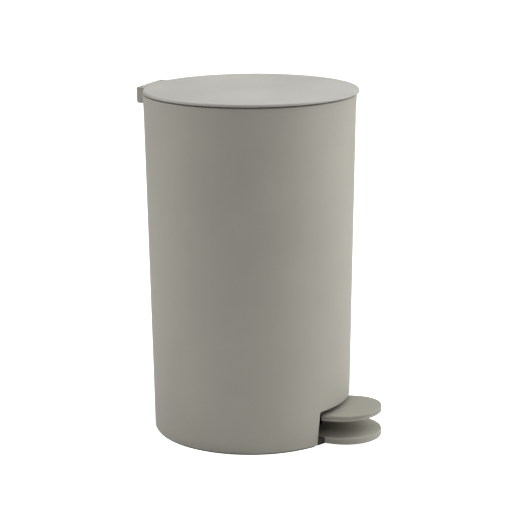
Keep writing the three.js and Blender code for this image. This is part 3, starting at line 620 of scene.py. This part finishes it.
def build_base():
    """The tray that closes the tube below, near-black as painted shade for the recess under the pedal, and
    the foot that lies in its pocket.
    """
    bottom = base_low.z
    underside = BASE_TOP - 2.5 * MM
    flange = BASE_RADIUS - 2.5 * MM
    base = turned(
        "base",
        [
            (0, underside),
            (flange, underside, 0.8 * MM),
            (flange, bottom, 0.4 * MM),
            (BASE_RADIUS, bottom, 0.4 * MM),
            (BASE_RADIUS, BASE_TOP, 0.5 * MM),
            (0, BASE_TOP),
        ],
        FINE,
        (0, TUBE_Y),
    )
    pocket = tongue(FOOT_Y, FOOT_RADIUS + FOOT_GAP, FOOT_BACK + FOOT_GAP)
    foot_room = prism("room", pocket, 0, BASE_TOP + MM)
    sill = prism("sill", sill_outline(), bottom, BASE_TOP)
    join(base, soften(sill, 0.4 * MM), axle_bearing(-1), axle_bearing(1))
    holes = [bar("hole", x, y, 1.8 * MM, 0, BASE_TOP + MM, "Z") for x, y in PILLARS]
    head_room = [bar("head_room", x, y, 3.3 * MM, 0, underside, "Z") for x, y in PILLARS]
    cut(base, foot_room, *holes, *head_room)
    soften(base, 0.3 * MM)
    settle(base, "root", "bucket", base_painted_shade, "base_plate")
    foot = prism("foot", tongue(FOOT_Y, FOOT_RADIUS, FOOT_BACK), bottom, BASE_TOP)
    soften(foot, 0.5 * MM, segments=4)
    cut(foot, bar("pocket", 0, PAD_Y, PAD_RADIUS + 0.3 * MM, 0, 1.7 * MM, "Z", MEDIUM))
    soften(foot, 0)
    settle(foot, "root", "shell", shell_plastic, "foot_plate")


build_base()


def build_soles():
    """The soft ring under the tube and the soft pad under the foot."""
    lip_top = sole_high.z
    top, inner, lip, outer, edge = 0.4 * MM, 73.5 * MM, 75.7 * MM, 79.4 * MM, 0.15 * MM
    ring = turned(
        "sole_ring",
        [
            (inner, 0, edge),
            (outer, 0, edge),
            (outer, top, edge),
            (lip, top),
            (lip, lip_top, edge),
            (inner, lip_top, edge),
        ],
        FINE,
        (0, TUBE_Y),
        closed=True,
    )
    half = 38.6 * MM
    cut(ring, box_solid("opening", (-half, TUBE_Y - 100 * MM, -MM), (half, TUBE_Y - half, 3 * MM)))
    soften(ring, 0)
    settle(ring, "root", "soft", dark_rubber, "anti_slip_ring")
    pad_top = 1.4 * MM
    pad = turned(
        "sole_pad",
        [(0, 0), (PAD_RADIUS, 0, 0.3 * MM), (PAD_RADIUS, pad_top, 0.3 * MM), (0, pad_top)],
        MEDIUM,
        (0, PAD_Y),
    )
    soften(pad, 0)
    settle(pad, "root", "soft", dark_rubber, "foot_pad")


build_soles()


def build_cover():
    """The false floor over the lever, with a collar that centres the bucket and a notch for the rod."""
    low = cover_low.z
    top = low + 1.8 * MM
    radius = 78.8 * MM
    cover = turned(
        "cover",
        [(0, low), (radius, low, 0.4 * MM), (radius, top, 0.6 * MM), (0, top)],
        FINE,
        (0, TUBE_Y),
    )
    inner, outer, sunk, rise = 68.5 * MM, 70 * MM, 0.5 * MM, 2 * MM
    collar = turned(
        "collar",
        [
            (inner, top - sunk),
            (outer, top - sunk),
            (outer, top + rise, 0.5 * MM),
            (inner, top + rise, 0.5 * MM),
        ],
        MEDIUM,
        (0, BUCKET_Y),
        closed=True,
    )
    join(cover, collar)
    half, front, back = 10 * MM, TUBE_Y + 69.8 * MM, TUBE_Y + 82 * MM
    cut(cover, box_solid("notch", (-half, front, low - MM), (half, back, top + 3 * MM)))
    soften(cover, 0.3 * MM)
    return settle(cover, "root", "inside", shaded_inside_plastic, "mechanism_cover")


build_cover()

# ------------------------------------------------------------------ pedal and axle

# the pedal is drawn level with its axle at the origin, then turned and moved to its place
PEDAL_TILT = 0.058
PEDAL_REACH = 68.8 * MM  # from the axle to the centre of the tread's round front
PEDAL_RADIUS = 28.7 * MM
PEDAL_HALF = 2.2 * MM  # half the tread's thickness
PARTING = 0.06 * MM  # half the parting line between the cap and the lever
TREAD_BACK = -57 * MM
LEVER_REAR = 89.3 * MM
on_lever = Matrix.Translation((0, AXLE_Y, AXLE_Z)) @ Matrix.Rotation(-PEDAL_TILT, 4, "X")


def tread(name, radius, low, high, edge):
    """The tread: round in front, straight-sided back to just inside the tube."""
    return soften(prism(name, tongue(-PEDAL_REACH, radius, TREAD_BACK), low, high), edge, segments=4)


def build_pedal():
    """The cap on the tread, and the lever with the tread's lower half, its hub and the rod's eye."""
    cap = tread("tread_cap", PEDAL_RADIUS, PARTING, PEDAL_HALF, 0.55 * MM)
    cap.data.transform(on_lever)
    settle(cap, "pedal", "shell", pedal_plastic, "pedal_cap")

    half, wide, middle, narrow, tip = 2 * MM, 13 * MM, 10 * MM, 6 * MM, 3.6 * MM
    lever = tread("lever", PEDAL_RADIUS - 0.25 * MM, -PEDAL_HALF, -PARTING, 0)
    parts = [
        box_solid("neck", (-wide, TREAD_BACK - 6 * MM, -half), (wide, TREAD_BACK + MM, -PARTING)),
        box_solid("front", (-wide, TREAD_BACK + 0.3 * MM, -half), (wide, -9 * MM, half)),
        box_solid("middle", (-middle, -10 * MM, -half), (middle, 3 * MM, half - 0.2 * MM)),
        box_solid("rear", (-narrow, 0, -half), (narrow, LEVER_REAR - 7 * MM, half)),
        box_solid("tip", (-tip, LEVER_REAR - 8 * MM, -half), (tip, LEVER_REAR, half)),
        bar("eye", LEVER_REAR, 0, 3.3 * MM, -tip, tip),
        bar("hub", 0, 0, 5 * MM, -11.5 * MM, 11.5 * MM),
    ]
    join(lever, *parts)
    cut(
        lever,
        bar("axle_bore", 0, 0, AXLE_RADIUS + RUNNING_GAP, -20 * MM, 20 * MM),
        bar("rod_bore", LEVER_REAR, 0, ROD_RADIUS + ROD_GAP, -10 * MM, 10 * MM),
    )
    soften(lever, 0.4 * MM)
    lever.data.transform(on_lever)
    settle(lever, "pedal", "shell", shell_plastic, "pedal_lever")


build_pedal()


def washer(name, u, v, inner, outer, low, high):
    """A flat ring across X."""
    ring = cut(
        bar(name, u, v, outer, low, high),
        bar("bore", u, v, inner, low - MM, high + MM),
    )
    return soften(ring, 0.12 * MM)


def build_axle():
    """The pedal's axle and the clip at each end of it."""
    axle = soften(bar("axle", AXLE_Y, AXLE_Z, AXLE_RADIUS, axle_low.x, axle_high.x), 0.35 * MM)
    settle(axle, "root", "steel", steel_along_x, "pedal_axle")
    for side in ("left", "right"):
        low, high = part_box(f"axle_clip_{side}")
        inner, outer = AXLE_RADIUS + CLIP_GAP, 4.4 * MM
        clip = washer(f"axle_washer_{side}", AXLE_Y, AXLE_Z, inner, outer, low.x, high.x)
        settle(clip, "root", "steel", steel_turned, f"axle_clip_{side}")


build_axle()

# ------------------------------------------------------------------ push rod


def build_rod():
    """The bent wire from the lever up to the lid's crank, with a clip at each end."""
    corner_low = Vector((ROD_X, ROD_Y, ROD_LOW_Z))
    corner_high = Vector((ROD_X, ROD_Y, ROD_HIGH_Z))
    end_low = Vector((rod_high.x, ROD_Y, ROD_LOW_Z))
    end_high = Vector((rod_high.x, ROD_Y, ROD_HIGH_Z))
    turn = 2.1 * MM
    points = [
        end_low,
        *bend(corner_low, end_low, corner_high, turn),
        *bend(corner_high, corner_low, end_high, turn),
        end_high,
    ]
    rod = soften(wire("rod_wire", points, ROD_RADIUS, 24), 0.25 * MM)
    settle(rod, "rod", "steel", steel_along_z, "push_rod")
    for level, z in (("lower", ROD_LOW_Z), ("upper", ROD_HIGH_Z)):
        low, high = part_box(f"rod_clip_{level}")
        inner, outer = ROD_RADIUS + CLIP_GAP, 3 * MM
        clip = washer(f"rod_washer_{level}", ROD_Y, z, inner, outer, low.x, high.x)
        settle(clip, "rod", "steel", steel_turned, f"rod_clip_{level}")


build_rod()

# ------------------------------------------------------------------ lid hinge

# the crank's eye, where the push rod's upper end passes through
EYE_Y = PIN_Y - 8 * MM
EYE_Z = PIN_Z - 6.7 * MM
CRANK_HALF = 3.6 * MM  # half the crank's width
EAR_INNER, EAR_OUTER = 8 * MM, 15 * MM


def build_bracket():
    """The plate on the back wall with two ears that hold the hinge pin, and the pin."""
    front, back = bracket_low.y, TUBE_Y + 80.2 * MM
    bottom = bracket_low.z
    half, top = 16 * MM, 256 * MM
    bracket = box_solid("bracket", (-half, front, bottom), (half, back, top))
    for side in (-1, 1):
        low, high = sorted((side * EAR_INNER, side * EAR_OUTER))
        ear = prism(
            "ear",
            [
                (front, bottom),
                (back, bottom),
                (back, WINDOW_BOTTOM - MM),
                (PIN_Y + 1.2 * MM, PIN_Z - 3.1 * MM),
                (PIN_Y - 1.2 * MM, PIN_Z + 3.1 * MM),
                (front, WINDOW_BOTTOM + 2.6 * MM),
            ],
            low,
            high,
            "X",
        )
        join(bracket, ear, bar("barrel", PIN_Y, PIN_Z, 3.4 * MM, low, high))
    holes = [
        bar("hole", side * BRACKET_SCREW_X, BRACKET_SCREW_Z, PILOT_RADIUS, front - MM, back + MM, "Y")
        for side in (-1, 1)
    ]
    cut(bracket, bar("pin_bore", PIN_Y, PIN_Z, PIN_RADIUS + RUNNING_GAP, -20 * MM, 20 * MM), *holes)
    soften(bracket, 0.35 * MM)
    settle(bracket, "root", "inside", shaded_inside_plastic, "hinge_bracket")
    pin = soften(bar("pin", PIN_Y, PIN_Z, PIN_RADIUS, pin_low.x, pin_high.x), 0.3 * MM)
    settle(pin, "root", "steel", steel_along_x, "hinge_pin")


build_bracket()


def link_outline(ay, az, ar, by, bz, br, steps=20):
    """The outline of a flat link between two round ends, each a place and a radius."""
    heading = atan2(bz - az, by - ay)
    spread = acos((ar - br) / hypot(by - ay, bz - az))
    around_a = [heading + spread + (2 * pi - 2 * spread) * k / steps for k in range(steps + 1)]
    around_b = [heading - spread + 2 * spread * k / steps for k in range(steps + 1)]
    return [(ay + ar * cos(a), az + ar * sin(a)) for a in around_a] + [
        (by + br * cos(a), bz + br * sin(a)) for a in around_b
    ]


def build_knuckle():
    """The block behind the lid, with its flange under the lid and the crank that the rod pushes."""
    half = knuckle_high.x
    front, back = TUBE_Y + 80.3 * MM, knuckle_high.y
    bottom, top = 267.6 * MM, knuckle_high.z
    under_lid = LID_BOTTOM - 0.3 * MM
    slope = 2.2 * MM
    knuckle = prism(
        "knuckle",
        [
            (front, top),
            (front, bottom + slope),
            (front + slope, bottom),
            (back, bottom, 2 * MM),
            (back, top, 0.5 * MM),
        ],
        -half,
        half,
        "X",
    )
    cut(knuckle, bar("lid_room", 0, LID_Y, LID_RADIUS + 0.5 * MM, under_lid, top + MM, "Z", FINE))
    flange = box_solid(
        "flange", (-half, knuckle_low.y, under_lid - 2.4 * MM), (half, front + MM, under_lid)
    )
    link = link_outline(PIN_Y, PIN_Z, 2.6 * MM, EYE_Y, EYE_Z, 4.4 * MM)
    join(knuckle, flange, prism("crank", link, -CRANK_HALF, CRANK_HALF, "X"))
    ear_room_top, ear_gap = 275.6 * MM, 0.3 * MM
    dimple_inner, dimple_outer, dimple_depth = 16.5 * MM, 21 * MM, 2 * MM
    dimple_front, dimple_back = TUBE_Y + 85.3 * MM, TUBE_Y + 87.3 * MM
    for side in (-1, 1):
        low, high = sorted((side * (EAR_INNER - ear_gap), side * (EAR_OUTER + ear_gap)))
        room = box_solid("ear_room", (low, front - MM, bottom - MM), (high, back + MM, ear_room_top))
        boss = bar("boss_room", side * LID_SCREW_X, LID_SCREW_Y, 3.5 * MM, 275 * MM, LID_BOTTOM, "Z")
        low, high = sorted((side * dimple_inner, side * dimple_outer))
        dimple = box_solid("dimple", (low, dimple_front, top - dimple_depth), (high, dimple_back, top + MM))
        cut(knuckle, room, boss, dimple)
    cut(
        knuckle,
        bar("pin_bore", PIN_Y, PIN_Z, PIN_RADIUS + RUNNING_GAP, pin_low.x - 0.3 * MM, half + MM),
        bar("rod_bore", EYE_Y, EYE_Z, 3.1 * MM, -5 * MM, 5 * MM),
    )
    soften(knuckle, 0.45 * MM)
    return settle(knuckle, "lid", "shell", shell_plastic, "hinge_knuckle")


build_knuckle()

# ------------------------------------------------------------------ lid


def build_lid():
    """The flat round lid, with the bosses for its screws and the pockets for its bumpers."""
    lid = turned(
        "lid",
        [
            (0, LID_BOTTOM),
            (LID_RADIUS, LID_BOTTOM, 0.3 * MM),
            (LID_RADIUS, LID_TOP, 1.5 * MM),
            (0, LID_TOP),
        ],
        FINE,
        (0, LID_Y),
    )
    for side in (-1, 1):
        x = side * LID_SCREW_X
        join(lid, bar("boss", x, LID_SCREW_Y, 3.2 * MM, lid_low.z, LID_BOTTOM + 0.6 * MM, "Z"))
        cut(lid, bar("pilot", x, LID_SCREW_Y, PILOT_RADIUS, 270 * MM, 279.8 * MM, "Z"))
    for k in (1, 2, 3):
        low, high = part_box(f"lid_bumper_{k}")
        centre = (low + high) / 2
        radius = (high.x - low.x) / 2 + 0.2 * MM
        cut(lid, bar("pocket", centre.x, centre.y, radius, LID_BOTTOM - MM, high.z + 0.2 * MM, "Z"))
    soften(lid, 0)
    return settle(lid, "lid", "lid", lid_plastic, "lid_panel")


build_lid()


def build_liner():
    """The disc under the lid, with a stiffening ring and a skirt, and the lid's three bumpers."""
    top = liner_high.z
    low = liner_low.z
    plate = top - 1.6 * MM
    radius = 80 * MM
    skirt = radius - 2.5 * MM
    rib = 48 * MM
    rib_low = plate - 1.2 * MM
    liner = turned(
        "liner",
        [
            (0, plate),
            (rib, plate, 0.4 * MM),
            (rib + 0.3 * MM, rib_low, 0.4 * MM),
            (rib + 2 * MM, rib_low, 0.4 * MM),
            (rib + 2.3 * MM, plate, 0.4 * MM),
            (skirt, plate, MM),
            (skirt, low, 0.6 * MM),
            (radius, low, 0.6 * MM),
            (radius, top, 0.3 * MM),
            (0, top),
        ],
        FINE,
        (0, LID_Y),
    )
    gap = 0.6 * MM
    half = knuckle_high.x + gap
    front, back = knuckle_low.y - gap, TUBE_Y + 90 * MM
    cut(liner, box_solid("notch", (-half, front, 270 * MM), (half, back, 285 * MM)))
    soften(liner, 0.3 * MM)
    settle(liner, "lid", "inside", shaded_inside_plastic, "lid_liner")
    for k in (1, 2, 3):
        low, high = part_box(f"lid_bumper_{k}")
        centre = (low + high) / 2
        radius = (high.x - low.x) / 2
        bumper = turned(
            f"bumper_{k}",
            [(0, low.z), (radius, low.z, 0.2 * MM), (radius, high.z), (0, high.z)],
            SMALL,
            (centre.x, centre.y),
        )
        soften(bumper, 0)
        settle(bumper, "lid", "soft", dark_rubber, f"lid_bumper_{k}")


build_liner()

# ------------------------------------------------------------------ screws


def screw(name, head, shank, length, head_height):
    """A pan-head screw with a cross recess, its head's bearing face at the origin and its shank up +Z."""
    body = turned(
        name,
        [
            (0, -head_height),
            (head, -head_height, 0.7 * MM),
            (head, 0, 0.1 * MM),
            (shank, 0),
            (shank, length - MM),
            (0.3 * MM, length),
            (0, length),
        ],
        SMALL,
    )
    slot_half, slot_width, slot_depth = 0.55 * head, 0.3 * MM, 0.7 * MM
    low, high = -head_height - MM, slot_depth - head_height
    for half_x, half_y in ((slot_half, slot_width), (slot_width, slot_half)):
        cut(body, box_solid("cross", (-half_x, -half_y, low), (half_x, half_y, high)))
    return soften(body, 0.05 * MM, segments=2)


HEAD_HEIGHT = 1.6 * MM
HEAD_RADIUS = 3 * MM
WIDE_HEAD_RADIUS = 4.4 * MM
SHANK_RADIUS = 1.2 * MM


def upright_screw(name, node, head, body):
    """A screw driven upwards in the place of that node."""
    low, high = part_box(node)
    seat = low.z + HEAD_HEIGHT
    piece = screw(name, head, SHANK_RADIUS, high.z - seat, HEAD_HEIGHT)
    piece.data.transform(Matrix.Translation(((low.x + high.x) / 2, (low.y + high.y) / 2, seat)))
    settle(piece, body, "steel", steel_turned, node)


def backward_screw(name, node):
    """A screw driven towards the back in the place of that node."""
    low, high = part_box(node)
    seat = low.y + HEAD_HEIGHT
    piece = screw(name, HEAD_RADIUS, SHANK_RADIUS, high.y - seat, HEAD_HEIGHT)
    at = Matrix.Translation(((low.x + high.x) / 2, seat, (low.z + high.z) / 2))
    piece.data.transform(at @ Matrix.Rotation(-pi / 2, 4, "X"))
    settle(piece, "root", "steel", steel_turned, node)


def build_screws():
    """Four up into the pillars, two through the bracket and two up into the lid."""
    for k in (1, 2, 3, 4):
        upright_screw(f"screw_base_{k}", f"base_screw_{k}", HEAD_RADIUS, "root")
    for side in ("left", "right"):
        backward_screw(f"screw_bracket_{side}", f"bracket_screw_{side}")
        upright_screw(f"screw_lid_{side}", f"lid_screw_{side}", WIDE_HEAD_RADIUS, "lid")


build_screws()

# ------------------------------------------------------------------ inner bucket

HANDLE_Z = 252 * MM
HANDLE_RADIUS = 74.9 * MM
HANDLE_WIRE = 1.3 * MM  # the handle wire's radius
BOSS_END = 72.4 * MM  # how far out the bosses that hold the handle reach


def build_bucket():
    """The lift-out bucket: a tapered pot with a beaded rim and two bosses for its handle."""
    bottom, top = bucket_low.z, bucket_high.z
    low, high, wall, bead = 67.5 * MM, 69.4 * MM, 1.3 * MM, 1.2 * MM
    floor, recess, bead_low = bottom + 1.6 * MM, 0.8 * MM, top - 5 * MM
    bucket = turned(
        "bucket",
        [
            (0, bottom + recess),
            (low - 9 * MM, bottom + recess, 0.4 * MM),
            (low - 10 * MM, bottom, 0.4 * MM),
            (low, bottom, 2.5 * MM),
            (high, bead_low, 0.4 * MM),
            (high + bead, bead_low, 0.4 * MM),
            (high + bead, top, 0.9 * MM),
            (high - wall, top, 0.9 * MM),
            (low - wall, floor, 2.5 * MM),
            (0, floor + recess),
        ],
        FINE,
        (0, BUCKET_Y),
    )
    for side in (-1, 1):
        inner, outer = sorted((side * (high - 0.6 * MM), side * BOSS_END))
        join(bucket, bar("boss", BUCKET_Y, HANDLE_Z, 4 * MM, inner, outer))
    cut(bucket, bar("bore", BUCKET_Y, HANDLE_Z, HANDLE_WIRE + 0.2 * MM, -80 * MM, 80 * MM))
    soften(bucket, 0.25 * MM)
    return settle(bucket, "bucket", "bucket", bucket_plastic, "inner_bucket")


build_bucket()


def handle_point(angle):
    """A point of the handle's circle, by its angle from the front."""
    return Vector((HANDLE_RADIUS * sin(angle), BUCKET_Y - HANDLE_RADIUS * cos(angle), HANDLE_Z))


def build_handle():
    """The wire handle: a half circle with its ends bent inwards into the bucket's bosses."""
    turn = 2.5 * MM
    arc_end = pi / 2 - turn / HANDLE_RADIUS
    arc = [handle_point(-arc_end + 2 * arc_end * k / 96) for k in range(97)]
    ends = []
    for side in (-1, 1):
        corner = Vector((side * HANDLE_RADIUS, BUCKET_Y, HANDLE_Z))
        inside = Vector((side * (BOSS_END - 1.6 * MM), BUCKET_Y, HANDLE_Z))
        ahead = corner + Vector((0, -MM, 0))
        ends.append([inside, *bend(corner, inside, ahead, turn)[:-1]])
    points = ends[0] + arc + ends[1][::-1]
    handle = soften(wire("handle_wire", points, HANDLE_WIRE, 20), 0.2 * MM)
    settle(handle, "handle", "steel", steel_along_x, "bucket_handle")


build_handle()


def grip_radius(along):
    """The grip's radius from one end (-1) to the other (1): seven shallow grooves and rounded ends."""
    grip, groove_depth, end_drop, end_share = 3.4 * MM, 0.28 * MM, 0.7 * MM, 14
    groove = groove_depth * (0.5 - 0.5 * cos(along * 7 * pi))
    from_end = min(1.0, (1 - abs(along)) * end_share)
    return grip - groove - end_drop * (1 - from_end) ** 2


def build_grip():
    """A sleeve along the handle with finger grooves and rounded ends."""
    half_angle = radians(18)
    steps, sides = 120, 40
    upwards = Vector((0, 0, 1))
    bm = bmesh.new()
    rings = []
    for k in range(steps + 1):
        along = -1 + 2 * k / steps
        angle = half_angle * along
        outwards = Vector((sin(angle), -cos(angle), 0))
        rings.append(add_ring(bm, handle_point(angle), outwards, upwards, grip_radius(along), sides))
    add_skin(bm, rings)
    grip = to_object("grip", bm)
    bore_end = half_angle * 1.1
    bore_line = [handle_point(-bore_end + 2 * bore_end * k / 40) for k in range(41)]
    cut(grip, wire("bore", bore_line, HANDLE_WIRE + CLIP_GAP, 20))
    soften(grip, 0)
    settle(grip, "handle", "bucket", bucket_plastic, "handle_grip")


build_grip()

# ------------------------------------------------------------------ camera

# fitted to the photo's outlines: metres, then angles in radians, then millimetres
CAMERA_AT = (-1.2940, TUBE_Y - 0.5123, 0.4820)
CAMERA_HEADING = radians(21.38)
CAMERA_PITCH = 0.2400
CAMERA_ROLL = -0.0068
CAMERA_LENS = 122.75


def build_camera():
    """The camera the photo was taken with, as fitted."""
    data = bpy.data.cameras.new("camera")
    data.sensor_width = 36
    data.lens = CAMERA_LENS
    data.clip_start, data.clip_end = 0.05, 30
    camera = bpy.data.objects.new("camera", data)
    bpy.context.scene.collection.objects.link(camera)
    forward = Vector(
        (
            cos(CAMERA_HEADING) * cos(CAMERA_PITCH),
            sin(CAMERA_HEADING) * cos(CAMERA_PITCH),
            -sin(CAMERA_PITCH),
        )
    )
    level = Vector((sin(CAMERA_HEADING), -cos(CAMERA_HEADING), 0))
    upright = level.cross(forward)
    right = level * cos(CAMERA_ROLL) + upright * sin(CAMERA_ROLL)
    up = upright * cos(CAMERA_ROLL) - level * sin(CAMERA_ROLL)
    turn = Matrix((right, up, -forward)).transposed().to_4x4()
    camera.matrix_world = Matrix.Translation(CAMERA_AT) @ turn
    bpy.context.scene.camera = camera


build_camera()

# ------------------------------------------------------------------ floor and studio light

TOWARDS_VIEWER = Vector((-cos(CAMERA_HEADING), -sin(CAMERA_HEADING), 0))
VIEWER_RIGHT = Vector((sin(CAMERA_HEADING), -cos(CAMERA_HEADING), 0))
MIDDLE = Vector((0, TUBE_Y, RIM_TOP / 2))


def build_floor():
    """A white table top, over-exposed where it is seen."""
    bm = bmesh.new()
    half = 6.0
    corners = [(-half, -half), (half, -half), (half, half), (-half, half)]
    bm.faces.new([bm.verts.new((x, y, 0)) for x, y in corners])
    mesh = bpy.data.meshes.new("floor")
    bm.to_mesh(mesh)
    bm.free()
    floor = add_object("floor", mesh)
    material, nodes, links, shader = start_material("floor_paint")
    place = nodes.new("ShaderNodeTexCoord")
    cloud = noise(nodes, links, place, 0.4, 2)
    tone = blended(nodes, links, cloud, (0.76, 0.76, 0.755), (0.8, 0.8, 0.795))
    links.new(tone, shader.inputs["Base Color"])
    shader.inputs["Emission Color"].default_value = (1, 1, 1, 1)
    seen = nodes.new("ShaderNodeLightPath").outputs["Is Camera Ray"]
    links.new(seen, shader.inputs["Emission Strength"])
    shader.inputs["Roughness"].default_value = 0.9
    shader.inputs["Specular IOR Level"].default_value = 0.1
    floor.data.materials.append(material)


build_floor()


def soft_box(name, right, towards, up, width, height, power, aim=MIDDLE):
    """A soft light at metres from the bin's middle: to the viewer's right, towards the viewer, and up."""
    data = bpy.data.lights.new(name, "AREA")
    data.shape = "RECTANGLE"
    data.size, data.size_y = width, height
    data.energy = power
    lamp = bpy.data.objects.new(name, data)
    bpy.context.scene.collection.objects.link(lamp)
    lamp.location = MIDDLE + VIEWER_RIGHT * right + TOWARDS_VIEWER * towards + Vector((0, 0, up))
    lamp.rotation_mode = "QUATERNION"
    lamp.rotation_quaternion = (aim - lamp.location).to_track_quat("-Z", "Y")
    return lamp


WORLD_GLOW = 0.01


def build_lights():
    """Four soft boxes, powers in watts, and a backdrop that looks white but hardly lights the bin."""
    soft_box("overhead", 0.1, -0.2, 1.7, 2.0, 1.6, 22.5)
    soft_box("right_side", 1.5, -0.15, 1.0, 1.0, 1.4, 27.5)
    soft_box("left_side", -1.5, -0.25, 1.0, 1.0, 1.4, 17)
    soft_box("viewer_side", -0.2, 1.8, 1.5, 1.8, 1.0, 9.2)
    world = bpy.data.worlds.new("studio")
    world.use_nodes = True
    nodes, links = world.node_tree.nodes, world.node_tree.links
    glow = nodes["Background"]
    glow.inputs["Color"].default_value = (1, 1, 1, 1)
    glow.inputs["Strength"].default_value = WORLD_GLOW
    backdrop = nodes.new("ShaderNodeBackground")
    backdrop.inputs["Color"].default_value = (1, 1, 1, 1)
    either = nodes.new("ShaderNodeMixShader")
    links.new(nodes.new("ShaderNodeLightPath").outputs["Is Camera Ray"], either.inputs["Fac"])
    links.new(glow.outputs["Background"], either.inputs[1])
    links.new(backdrop.outputs["Background"], either.inputs[2])
    links.new(either.outputs["Shader"], nodes["World Output"].inputs["Surface"])
    bpy.context.scene.world = world
    bpy.context.scene.view_settings.view_transform = "Standard"


build_lights()
